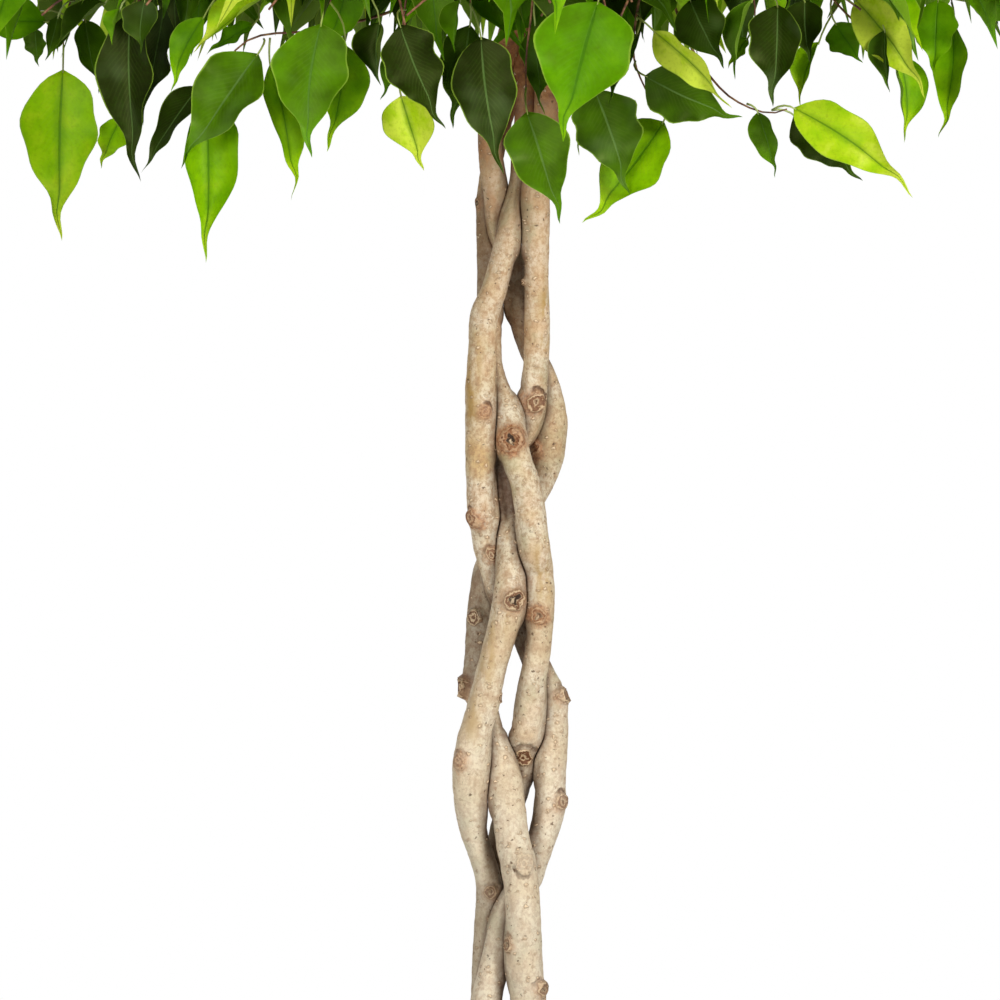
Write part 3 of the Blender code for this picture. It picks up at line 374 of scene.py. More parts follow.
# A blade's form: fold along the midrib in radians, inward roll of the edges, arch along the length, height
# and count of the waves along the edges, sideways hook of the drip tip, curl of the tip towards the viewer,
# and twist along the length in radians. Heights are shares of the blade's length.
FORMS = {
    "flat": (0.14, 0.03, 0.018, 0.028, 2.3, 0.022, 0.02, 0.10),
    "wide": (0.16, 0.02, 0.030, 0.024, 1.9, 0.030, 0.05, -0.14),
    "arched": (0.20, 0.05, 0.060, 0.030, 1.8, -0.030, -0.03, -0.22),
    "waved": (0.16, 0.03, 0.034, 0.036, 2.8, 0.036, 0.03, 0.26),
    "cupped": (0.32, 0.18, 0.040, 0.020, 2.0, -0.024, 0.03, -0.16),
    "creased": (0.36, 0.02, 0.030, 0.032, 2.2, 0.026, 0.04, 0.14),
    "folded": (0.70, 0.08, 0.045, 0.022, 1.6, 0.028, -0.03, 0.34),
    "rolled": (0.30, 0.60, 0.034, 0.024, 1.7, 0.020, 0.02, -0.12),
    "swayed": (0.24, 0.08, 0.050, 0.026, 2.1, -0.050, 0.03, 0.30),
}
CROWN_FORMS = ("arched", "waved", "cupped", "creased", "swayed", "flat", "folded", "rolled")
CROWN_SWAYS = (0.03, -0.035)
LEAF_PHASE = 1.7  # by which the waves along one leaf lead those of the next
KIND_SPREAD = 997  # times a leaf's tone, to pick its form
TWIG_SLOT, STALK_SLOT, LEAF_SLOT = 0, 1, 2  # the materials of a leafy spray, in their order
HALF_WIDTH = (
    (0.0, 0.03), (0.04, 0.36), (0.09, 0.64), (0.176, 0.92), (0.28, 1.0), (0.38, 0.99), (0.53, 0.81),
    (0.647, 0.53), (0.70, 0.36), (0.765, 0.20), (0.853, 0.10), (0.93, 0.055), (1.0, 0.0),
)
BOX_SPARE = 0.0012  # between the finished leaves and the box of the solids
TIP_SPARE = 0.0004
BLADE_HINGE = 0.08  # the first share of a blade, over which it bends back from that box
BLADE_THICK = 0.0045  # share of the length
FINE_BLADE = np.linspace(0, 1, 25)  # rings along a front leaf, as shares of its length
FINE_ACROSS = 8
CROWN_BLADE = np.array([0, 0.07, 0.2, 0.4, 0.6, 0.76, 1.0])  # and along a leaf of the crown
CROWN_ACROSS = 4

# Branch scars: stem, row, radius and height in view pixels, degrees from the front round the stem, degrees
# of tilt, then the strength of the brown stain, the hollow with its painted shade, pale lips and the crease
# that arches over them, darkened with painted shade.
SCARS = (
    ("c", 403, 8.5, 3.4, 18, -30, 0.75, 0.25, 0.75, 1.0),
    ("b", 413, 6.0, 2.0, 22, -35, 0.75, 0.0, 0.15, 0.9),
    ("d", 441, 10.0, 3.6, -4, 8, 1.0, 1.0, 0.35, 0.0),
    ("b", 520, 7.5, 2.8, -52, 50, 0.85, 0.0, 0.4, 0.8),
    ("c", 601, 9.5, 3.2, 22, -40, 0.6, 1.0, 0.85, 0.35),
    ("d", 617, 7.0, 2.4, -10, 20, 0.85, 0.6, 0.4, 0.2),
    ("a", 619, 7.5, 2.2, -30, 0, 0.0, 0.0, 0.8, 0.2),
    ("a", 688, 8.5, 6.0, -78, 0, 0.5, 0.7, 0.7, 0.3),
    ("b", 697, 8.0, 4.4, 62, 10, 0.4, 0.6, 0.7, 0.5),
    ("d", 757, 8.0, 3.2, 4, -15, 0.0, 0.0, 1.0, 1.0),
    ("c", 762, 7.0, 2.6, -40, 5, 0.6, 0.0, 0.3, 0.3),
    ("b", 803, 7.5, 2.6, 50, -25, 0.45, 0.15, 0.55, 0.9),
    ("a", 864, 9.0, 2.6, 22, 150, 0.1, 0.0, 0.25, 0.7),
    ("c", 892, 5.5, 2.0, 8, 0, 0.3, 0.3, 0.5, 0.4),
    ("a", 945, 7.0, 2.6, -60, 0, 0.5, 0.5, 0.6, 0.4),
    ("a", 990, 7.5, 3.0, 56, 20, 0.5, 0.5, 0.6, 0.5),
    # Small scars and buds that the solids leave out.
    ("a", 451, 7.5, 4.2, -52, 0, 0.9, 0.2, 0.3, 0.2),
    ("c", 283, 2.6, 3.4, -76, 0, 0.1, 0.0, 1.0, 0.3),
    ("d", 204, 5.0, 1.6, -64, 0, 0.5, 0.9, 0.3, 0.0),
    ("b", 556, 6.0, 1.6, 12, 25, 0.5, 0.2, 0.6, 0.5),
    ("c", 699, 4.5, 1.8, 66, 0, 0.2, 0.2, 0.8, 0.3),
    ("b", 908, 5.0, 1.4, 14, -20, 0.2, 0.2, 0.7, 0.6),
)
SCAR_REACH = 2.7  # how far a scar changes the bark, in its radii
SCAR_NONE = (9.0, 9.0, 0.0)  # the place in a scar of bark that has none, and no stain
# Where a stem runs behind the others its bark gets painted shade: stem, first and last row, strength.
SHADED_STRETCHES = (
    ("d", 188, 305, 0.62), ("a", 240, 372, 0.62), ("c", 456, 522, 0.85), ("a", 508, 560, 0.8),
    ("a", 562, 700, 0.6), ("b", 588, 672, 0.75), ("d", 812, 900, 0.65), ("c", 880, 1000, 0.45),
)
# Golden stains: stem, first and last row, and how far they are turned from the front, in degrees.
GOLD_BARK = (("c", 610, 738, -22), ("b", 336, 424, -42), ("d", 545, 600, 20), ("c", 290, 350, 40))
ROW_EASE = 26.0  # rows over which such a stretch fades

BARK_STEP = 2.0  # rows between the rings of the modelled bark
BRAID_ROW = -40.0  # above this row the rings are wider apart
CROWN_BARK_STEP = 10.0
BARK_SIDES = 48
PATH_EASES = 30
PRESS_GAP = 0.0008  # stems this near darken each other's bark fully with painted shade,
PRESS_REACH = 0.008  # and so much farther apart no more
INNER_REACH = 0.024  # bark inside the braid, that faces a stem nearer than this, gets painted shade
SWELL_REACH = 0.0055  # two stems nearer than this have swollen towards each other,
SWELL_FULL = 0.0030  # and here until they meet,
SWELL_LEFT = 0.00006  # but for this gap
SWELL_Z = 0.232  # and only above this height
# Unevenness of the bark: scale across and along the stem, per metre, and height as a share of the radius.
BARK_UNEVEN = ((60, 22, 0.05), (190, 120, 0.045), (430, 430, 0.022))
LIMB_RINGS = 14
LIMB_ROUND = 10
TWIG_ROUND = 6
TWIG_RINGS = 24
FINE_TWIG = (0.0011, 0.0004)
STALK_THICK = (0.00062, 0.00048)
STALK_RINGS = 5
SHOOT_THICK = (0.0011, 0.0006)
SHOOT_RINGS = 8
SHOOT_POINTS = 5
SHOOT_LONG = (0.055, 0.085)
SHOOT_LEAVES = 6
SHOOT_SHARES = (0.1, 0.26, 0.42, 0.58, 0.74, 0.9)
LIMB_SHARES = (0.34, 0.48, 0.62, 0.76, 0.92)  # and along a limb inside the crown
MORE_TRIES = 9
MORE_STRAY = 80  # degrees round the twig that a shoot or a leaf may stray to either side
MORE_HABIT = (MORE_STRAY, 0.2, (0.052, 0.096), 0.85, (0.010, 0.016), (0.3, 0.8, 0.12), 44, (0.94, 1.14))
LOW_DROOP = (0.7, 2.8)  # leaves at the front and below this height droop more than the others
LOW_DROOP_Z = 0.95
HIGH_DROOP = (0.4, 2.0)
TONE_SPREAD = (1.6, 2.6)  # most leaves are dark, some young: the two shapes of a beta distribution
TWIG_LEAVES = 8
SHOOT_SPARE = 0.0006  # extra radius of a shoot while it is tried for room
SHOOT_BOX_SPARE = 0.006  # between a shoot and the box of the solids
LEAF_BOX_SPARE = 0.14  # between a leaf and that box, as a share of its length
SHOOT_ROW = 30.0  # shoots end above this row of the view,
FRONT_SHOOT_ROW = -4.0  # those at the front start above this one
FRONT_LEAF_ROW = 20.0  # and leaves that are added at the front grow above this one
FILL_ROW = 62.0  # the leaves that fill the gaps hang no lower in the view
SHOWN_ROW = 12.0  # and below this row they don't cover the measured leaves

ROUND_STEPS = 96  # of the pot, the soil and the floor
DRAIN_SIDES = 24
EDGE_ROUND = 0.0005  # of the pot, where its sides meet at more than this angle
EDGE_ANGLE = math.radians(28)
SOIL_SIDE_GAP = GAP * 1.3  # between the soil and the pot's wall
SOIL_RINGS = 26
SOIL_LUMP = 0.0022  # height of the lumps on the soil
CRUMB_COUNT = 42000.0  # crumbs to a square metre
CRUMB_SIZE = (0.0018, 0.0062)
CRUMB_FORMS = 4

# Studio: the floor and the camera, and the lights with their place, aim, width and height, and watts.
FLOOR_Z = -0.0002
FLOOR_R = 1.5
SENSOR = 36.0  # the width of the camera's sensor, in millimetres
VIEW_PIXELS = 1000
LIGHTS = (
    ("key", (1.7, -2.1, 1.6), (0, 0, 0.75), (0.8, 0.8), 60),
    ("fill", (-1.6, -2.4, 0.9), (0, 0, 0.75), (1.6, 1.6), 41),
    ("back", (-0.8, 2.2, 1.9), (0, 0, 0.9), (1.6, 1.2), 26),
)


def at(col, row, depth):
    """The point that the view shows at this column and row, so many pixels behind the trunk."""
    back = depth * PX
    spread = PX * (1 + back / EYE_DIST)
    return Vector((MID_X + (col - MID_COL) * spread, back, MID_Z + (MID_ROW - row) * spread))


def row_of(point):
    """The row of the view that shows this point."""
    return MID_ROW - (point.z - MID_Z) / (PX * (1 + point.y / EYE_DIST))


def col_of(point):
    """The column of the view that shows this point."""
    return MID_COL + (point.x - MID_X) / (PX * (1 + point.y / EYE_DIST))


def hermite(knots, values, where):
    """A smooth curve through the values at the knots, read at each place."""
    slopes = np.gradient(values, knots, axis=0)
    low = np.clip(np.searchsorted(knots, where) - 1, 0, len(knots) - 2)
    span = (knots[low + 1] - knots[low])[:, None]
    t = (where - knots[low])[:, None] / span
    start = (1 + 2 * t) * (1 - t) ** 2 * values[low] + t * (1 - t) ** 2 * span * slopes[low]
    return start + t * t * (3 - 2 * t) * values[low + 1] + t * t * (t - 1) * span * slopes[low + 1]


def stem_samples():
    """For each stem: rows, and (column, depth, radius) there, with depths pushed until no stems touch."""
    samples = {}
    for name, knots in STEMS.items():
        table = np.array(knots, float)
        rows = np.arange(table[0, 1], table[-1, 1] + 1, SAMPLE_ROWS)
        samples[name] = (rows, hermite(table[:, 1], table[:, [0, 2, 3]], rows))
    names = sorted(samples)
    for turn in range(PUSHES):
        if turn < PUSHES * EASED_PUSHES:
            for name in names:
                depth = samples[name][1][:, 1]
                depth[1:-1] += PUSH_EASE * (depth[:-2] + depth[2:] - 2 * depth[1:-1])
        for one in names:
            for other in names:
                if other > one:
                    push_apart(samples[one], samples[other])
    return samples


def push_apart(one, other):
    """Moves two stems apart in depth, a little, where they're closer than their radii and the clearance."""
    rows_a, a = one
    rows_b, b = other
    across = a[:, None, 0] - b[None, :, 0]
    deep = a[:, None, 1] - b[None, :, 1]
    high = rows_a[:, None] - rows_b[None, :]
    apart = np.sqrt(across**2 + deep**2 + high**2)
    need = a[:, None, 2] + b[None, :, 2] + STEM_CLEAR
    near = (need - apart).argmax(axis=1)
    here = np.arange(len(a))
    lack = need[here, near] - apart[here, near]
    sign = np.where(deep[here, near] < 0, -1.0, 1.0)
    step = PUSH_STEP * np.clip(lack, 0, None) * sign
    a[:, 1] += step
    np.add.at(b[:, 1], near, -step)


def stem_path(sample, rows):
    """Centre line and radii of a stem at these rows."""
    values = hermite(sample[0], sample[1], rows)
    centre = [at(col, row, depth) for row, (col, depth, _) in zip(rows, values)]
    return centre, values[:, 2] * PX


def ring_rows(first):
    """Rows of a stem's rings: wide apart in the crown, close along the braid, none along the buried part."""
    crown = np.arange(first, -20, LEADER_STEP)
    braid = np.arange(crown[-1] + LEADER_STEP * 0.7, ROOT_ROW - 12, RING_STEP)
    return np.concatenate([crown, braid, [ROOT_ROW, STEMS["a"][-1][1]]])


def clamped(value):
    return min(1.0, max(0.0, value))


def smooth_share(value):
    """0 up to 0, 1 from 1 on, and a smooth rise in between."""
    share = clamped(value)
    return share * share * (3 - 2 * share)


def give(thing, settings):
    """Sets what the thing has under these names, in their order."""
    for name, value in settings.items():
        setattr(thing, name, value)
    return thing


def new_object(name, data):
    obj = bpy.data.objects.new(name, data)
    bpy.context.scene.collection.objects.link(obj)
    return obj


def mesh_of(name, work):
    """What bmesh has made, as a mesh."""
    mesh = bpy.data.meshes.new(name)
    work.to_mesh(mesh)
    work.free()
    return mesh


def apply_modifiers(obj):
    bpy.context.view_layer.update()
    graph = bpy.context.evaluated_depsgraph_get()
    obj.data = bpy.data.meshes.new_from_object(obj.evaluated_get(graph))
    obj.modifiers.clear()


def inner_radius(z):
    """Radius of the pot's inside at this height."""
    share = z / POT_COLLAR_Z
    return POT_FOOT_R + (POT_NECK_R - POT_FOOT_R) * share - POT_WALL


def bezier(start, bend, end, count):
    """Points of an arch from start to end that heads for the bend first."""
    steps = [i / (count - 1) for i in range(count)]
    return [start * (1 - t) ** 2 + bend * 2 * t * (1 - t) + end * t * t for t in steps]


def radii_between(thick, count):
    return [thick[0] + (thick[1] - thick[0]) * i / (count - 1) for i in range(count)]


def crown_radius(z):
    """How far the crown reaches from its axis at this height."""
    share = (z - CROWN_Z) / (CROWN_UP if z > CROWN_Z else CROWN_DOWN)
    return CROWN_R * max(0.0, 1 - abs(share) ** CROWN_POWER) ** (1 / CROWN_POWER)


class Leaf:
    """One leaf: where its stalk leaves the twig, its blade from base to tip, its facing and its width."""

    def __init__(self, root, base, tip, face, width):
        self.root = root
        self.base = base
        self.tip = tip
        self.axis = (tip - base).normalized()
        self.side = self.axis.cross(face).normalized()
        self.face = self.side.cross(self.axis).normalized()
        self.width = width
        self.length = (tip - base).length
        self.turn = self.axis.rotation_difference(base - root)
        self.look = None

    def solid(self, thick, start=0.0):
        """Points and triangles of the blade and its stalk; both faces are split alike."""
        half = self.width / 2
        stalk = STALK_WIDTH / 2
        flat = Quaternion()
        pairs = [(self.root, stalk * 0.5, 0.0, self.turn)] if start == 0 else []
        bend = flat.slerp(self.turn, 0.5) if start == 0 else flat
        pairs.append((self.base + (self.tip - self.base) * start, stalk, 0.0, bend))
        for along, share in LEAF_OUTLINE:
            wide = half * share
            pairs.append((self.base + (self.tip - self.base) * along, wide, wide * LEAF_FOLD, flat))
        left = []
        right = []
        for middle, wide, rise, turn in pairs:
            left.append((middle - turn @ (self.side * wide - self.face * rise), turn @ self.face))
            right.append((middle + turn @ (self.side * wide + self.face * rise), turn @ self.face))
        outline = [*left, (self.tip, self.face), *reversed(right)]
        count = len(outline)
        first = len(left) - len(LEAF_OUTLINE) - 1
        last = count - 1
        tip = len(left)
        faces = []
        if first:
            faces += [(0, 1, last - 1), (0, last - 1, last)]
        for i in range(first + 1, tip):
            faces.append((first, i, i + 1))
            faces.append((last - first, last - i - 1, last - i))
        faces.append((first, tip, last - first))
        points = [p + over * side * thick / 2 for side in (-1, 1) for p, over in outline]
        solid = [(a, c, b) for a, b, c in faces]
        solid += [(a + count, b + count, c + count) for a, b, c in faces]
        for i in range(count):
            j = (i + 1) % count
            solid += [(i, j, j + count), (i, j + count, i + count)]
        return points, solid


def tree_of(points, faces):
    """A tree of these faces, to tell whether others cross them."""
    return BVHTree.FromPolygons([tuple(p) for p in points], faces)


class Room:
    """What has been placed so far, so that the next piece can be tried against it."""

    def __init__(self):
        self.taken = []
        self.lows = np.zeros((MOST_PIECES, 3))
        self.highs = np.zeros((MOST_PIECES, 3))

    def add(self, points, faces, owner):
        self.lows[len(self.taken)], self.highs[len(self.taken)] = self.box(points)
        self.taken.append((tree_of(points, faces), owner))

    @staticmethod
    def box(points):
        array = np.array([tuple(p) for p in points])
        return array.min(axis=0) - BOX_MARGIN, array.max(axis=0) + BOX_MARGIN

    def free(self, points, faces, skip=()):
        low, high = self.box(points)
        count = len(self.taken)
        near = (low <= self.highs[:count]).all(axis=1) & (high >= self.lows[:count]).all(axis=1)
        tree = None
        for place in np.flatnonzero(near):
            other, owner = self.taken[place]
            if owner not in skip:
                tree = tree or tree_of(points, faces)
                if tree.overlap(other):
                    return False
        return True


def pipe(points, radii, sides=4):
    """Points and triangles of a bar, for trying it for room."""
    ring = []
    faces = []
    for i, (point, radius) in enumerate(zip(points, radii)):
        ahead = (points[min(i + 1, len(points) - 1)] - points[max(i - 1, 0)]).normalized()
        across = ahead.cross(Vector((0.31, 0.17, 0.93))).normalized()
        other = ahead.cross(across)
        for k in range(sides):
            angle = math.tau * k / sides
            ring.append(point + (across * math.cos(angle) + other * math.sin(angle)) * radius)
        if i:
            for k in range(sides):
                a, b = (i - 1) * sides + k, (i - 1) * sides + (k + 1) % sides
                faces += [(a, b, b + sides), (a, b + sides, a + sides)]
    return ring, faces


class Spray:
    """A leafy twig and the limb that carries it. Leaves grow at shares of the twig's length."""

    def __init__(self, limb, stem, twig):
        self.limb = limb
        self.stem = stem
        self.twig = twig
        self.leaves = []

    def point(self, share):
        place = share * (len(self.twig) - 1)
        low = min(int(place), len(self.twig) - 2)
        return self.twig[low].lerp(self.twig[low + 1], place - low)

    def heading(self, share):
        """Which way the twig runs here, and the level direction across it."""
        ahead = (self.point(min(share + 0.05, 1)) - self.point(share - 0.05)).normalized()
        return ahead, ahead.cross(Vector((0, 0, 1))).normalized()

    def nearest(self, point):
        """The place on the twig from which a stalk reaches this point."""
        shares = [i / 60 for i in range(4, 59)]
        share = min(shares, key=lambda s: (self.point(s) - point).length)
        return self.point(share)


def limb_to(stems, twig, row, name):
    """The arch of a limb from inside its stem, at this row, to just short of the twig that continues it."""
    ahead = (twig[1] - twig[0]).normalized()
    end = twig[0] - ahead * GAP
    centre, _ = stem_path(stems[name], np.array([row]))
    bend = end - ahead * (end - centre[0]).length * 0.45
    points = bezier(centre[0], bend, end, 4)
    points[-2] = end - ahead * (points[-1] - points[-2]).length
    return points


def front_sprays(stems, room):
    sprays = []
    for number, (twig, leaves) in enumerate(FRONT_SPRAYS):
        twig = [at(*knot) for knot in twig]
        name = "c" if twig[0].x < 0 else "a"
        row = LIMB_ROW - LIMB_STEP * (number if name == "c" else len(FRONT_SPRAYS) - number)
        spray = Spray(limb_to(stems, twig, row, name), name, twig)
        for place, (col, line, tip_col, tip_line, width, depth, turn, lean) in enumerate(leaves):
            for shift in DEPTH_SHIFTS:
                base = at(col, line, depth + shift)
                tip = at(tip_col, tip_line, depth + shift + lean)
                axis = (tip - base).normalized()
                face = Vector((0, -1, 0.25))
                face = (face - axis * face.dot(axis)).normalized()
                face = Matrix.Rotation(math.radians(turn), 3, axis) @ face
                root = spray.nearest(base - axis * STALK_LONG)
                leaf = Leaf(root, base, tip, face, width * PX)
                if has_room(leaf, spray, room):
                    leaf.look = FRONT_LOOKS[number][place]
                    take_leaf(leaf, spray, room)
                    break
        sprays.append(spray)
    return sprays


def has_room(leaf, spray, room):
    own = pipe(spray.twig, radii_between(TWIG_THICK, len(spray.twig)))
    blade = leaf.solid(LEAF_THICK + TEST_SPARE, start=0.05)
    whole = leaf.solid(LEAF_THICK + TEST_SPARE)
    if not room.free(*whole, skip=(id(spray),)) or not room.free(*blade):
        return False
    return not tree_of(*blade).overlap(tree_of(*own))


def take_leaf(leaf, spray, room):
    room.add(*leaf.solid(LEAF_THICK), id(spray))
    spray.leaves.append(leaf)


def tier_sprays(stems, room, chance):
    """Sprays by rule: a limb rises out of the nearest stem and its twig arches out and droops."""
    sprays = []
    for height, root, reach, count, start, sweep in TIERS:
        spread = TIER_SPREAD if sweep == 360 and height < 1.3 else TIER_SPREAD / 3
        for number in range(count):
            for _ in range(TRIES):
                angle = math.radians(start + sweep * (number + chance.uniform(-0.16, 0.16)) / count)
                out = Vector((math.cos(angle), math.sin(angle), 0))
                tip_z = height + chance.uniform(-1, 1) * spread
                radius = crown_radius(tip_z)
                end = out * radius * reach * chance.uniform(0.94, 1.02)
                end.z = tip_z - TWIG_DROP / 2
                begin = out * radius * root
                begin.z = tip_z - TWIG_DROP * (0.6 - root)
                bend = begin.lerp(end, 0.55) + Vector((0, 0, TWIG_ARCH))
                twig = bezier(begin, bend, end, 4)
                name = nearest_stem(stems, begin)
                centre_z = min(max(begin.z - 0.05 - 0.4 * radius * root, LIMB_LOW_Z), LIMB_HIGH_Z)
                row = MID_ROW - (centre_z - MID_Z) / PX
                spray = Spray(limb_to(stems, twig, row, name), name, twig)
                if spray_has_room(spray, room):
                    break
            else:
                continue
            take_twig(spray, room)
            grow_leaves(spray, number, room, chance)
            sprays.append(spray)
    return sprays


def nearest_stem(stems, point):
    """The stem whose leader stands on this side of the crown."""
    row = np.array([LEADER_ROW])
    toward = point.xy.normalized()
    return max(stems, key=lambda name: stem_path(stems[name], row)[0][0].xy.normalized().dot(toward))


def spray_has_room(spray, room):
    radii = [r + TWIG_SPARE for r in radii_between(TWIG_THICK, len(spray.twig))]
    limb = [r + TWIG_SPARE for r in radii_between(LIMB_THICK, len(spray.limb))]
    twig_free = room.free(*pipe(spray.twig, radii))
    return twig_free and room.free(*pipe(spray.limb, limb), skip=("stem_" + spray.stem,))


def take_twig(spray, room):
    room.add(*pipe(spray.twig, radii_between(TWIG_THICK, len(spray.twig))), id(spray))
    room.add(*pipe(spray.limb, radii_between(LIMB_THICK, len(spray.limb))), "stem_" + spray.stem)


def grow_leaves(spray, number, room, chance):
    """Leaves in a spiral along the twig, with the last one at its end, hanging by their own weight."""
    for place in range(SPRAY_LEAVES):
        share = 0.24 + 0.74 * place / (SPRAY_LEAVES - 1)
        root = spray.point(share)
        ahead, across = spray.heading(share)
        side = across if (place + number) % 2 else -across
        last = place == SPRAY_LEAVES - 1
        for _ in range(TRIES):
            leaf = hung_leaf(root, ahead, side, last, MAIN_DROOP, MAIN_HABIT, chance)
            if fits_crown(leaf) and has_room(leaf, spray, room):
                take_leaf(leaf, spray, room)
                break


def hung_leaf(root, ahead, side, last, droop, habit, chance):
    """A leaf that hangs from its stalk by its own weight, with its face outward."""
    stray, end_side, long, end_long, stalk_long, (lift, rise, pull), roll, wide = habit
    side = Matrix.Rotation(math.radians(chance.uniform(-stray, stray)), 3, ahead) @ side
    heading = side * (end_side if last else 0.75) + ahead * (0.9 if last else 0.5)
    stalk = (heading + Vector((0, 0, -0.15))).normalized()
    axis = (heading + Vector((0, 0, -chance.uniform(*droop)))).normalized()
    length = chance.uniform(*long) * (end_long if last else 1.0)
    base = root + stalk * (chance.uniform(*stalk_long) if stalk_long else STALK_LONG)
    tip = base + axis * length
    outward = Vector((tip.x, tip.y - (pull if tip.y < 0.08 else 0.0), lift + rise * (tip.z - CROWN_Z)))
    face = Matrix.Rotation(math.radians(chance.uniform(-roll, roll)), 3, axis) @ outward
    return Leaf(root, base, tip, face, length * LEAF_WIDE * chance.uniform(*wide))


def fits_crown(leaf):
    reach = max(math.hypot(leaf.tip.x, leaf.tip.y), math.hypot(leaf.base.x, leaf.base.y))
    inside = reach < crown_radius(leaf.tip.z) * 1.03 + 0.004
    return inside and row_of(leaf.tip) < LOW_ROW and row_of(leaf.base) < LOW_ROW


def lay_out():
    """Everything that grows: the stems' samples, and the sprays with their limbs and leaves."""
    chance = random.Random(SEED)
    stems = stem_samples()
    room = Room()
    for name, sample in stems.items():
        centre, radii = stem_path(sample, ring_rows(sample[0][0]))
        room.add(*pipe(centre, radii * STEM_SPARE, 8), "stem_" + name)
    fringe = front_sprays(stems, room)
    for spray in fringe:
        take_twig(spray, room)
    return stems, fringe + tier_sprays(stems, room, chance), room


def linear(value):
    """One channel of an sRGB colour, 0 to 255, as linear light."""
    share = value / 255
    return share / 12.92 if share <= 0.04045 else ((share + 0.055) / 1.055) ** 2.4


def colour(code):
    """An sRGB code such as #3F7D1B as a linear colour."""
    return (*(linear(int(code[i : i + 2], 16)) for i in (1, 3, 5)), 1.0)


NOISE = "ShaderNodeTexNoise"
CELLS = "ShaderNodeTexVoronoi"
RAMP = "ShaderNodeValToRGB"
MIX = "ShaderNodeMix"
MATH = "ShaderNodeMath"
EASED = "ShaderNodeMapRange"  # a value, where its change starts and ends, and what it gives there
SPLIT = "ShaderNodeSeparateXYZ"
VECTOR = "ShaderNodeVectorMath"
PLACED = "ShaderNodeMapping"
HELD = "ShaderNodeAttribute"
BUMP = "ShaderNodeBump"
SURFACE = "ShaderNodeBsdfPrincipled"
OUTPUT = "ShaderNodeOutputMaterial"
ABOVE = "FunctionNodeCompare"
RANDOM = "FunctionNodeRandomValue"
BASE, LAID = 6, 7  # the two colours of a mix
# The settings of these nodes, where a call gives no other.
USUAL = {
    MIX: {"data_type": "RGBA"},
    EASED: {"interpolation_type": "SMOOTHSTEP"},
    MATH: {"operation": "MULTIPLY"},
}


def add(tree, kind, inputs=None, stops=(), **settings):
    """Adds a node with its settings and links.

    Inputs are given by name or number, or as a list in their own order. An input takes a number, an sRGB
    code, an output, or a node, for the node's first live output. A ramp's stops are (place, sRGB code).
    """
    made = give(tree.nodes.new(kind), {**USUAL.get(kind, {}), **settings})
    named = inputs if isinstance(inputs, dict) else dict(enumerate(inputs or ()))
    for name, value in named.items():
        socket = made.inputs[name]
        if isinstance(value, bpy.types.Node):
            value = next(output for output in value.outputs if output.enabled)
        if isinstance(value, bpy.types.NodeSocket):
            tree.links.new(value, socket)
        else:
            coded = isinstance(value, str) and value.startswith("#")
            socket.default_value = colour(value) if coded else value
    if stops:
        band = made.color_ramp.elements
        while len(band) < len(stops):
            band.new(1.0)
        for element, (place, code) in zip(band, stops):
            element.position = place
            element.color = colour(code)
    return made


def new_material(name):
    """A material, its empty tree, and the place on the piece at which its patterns are read."""
    made = bpy.data.materials.new(name)
    made.use_nodes = True
    tree = made.node_tree
    tree.nodes.clear()
    return made, tree, add(tree, "ShaderNodeTexCoord").outputs["Object"]


def layered(tree, base, *layers, curve="SMOOTHSTEP"):
    """Lays colours over the base, each where a pattern runs from one value to another, up to a strength."""
    for pattern, start, full, strength, laid in layers:
        mask = add(tree, EASED, [pattern, start, full, 0.0, strength], interpolation_type=curve)
        base = add(tree, MIX, {0: mask, BASE: base, LAID: laid})
    return base


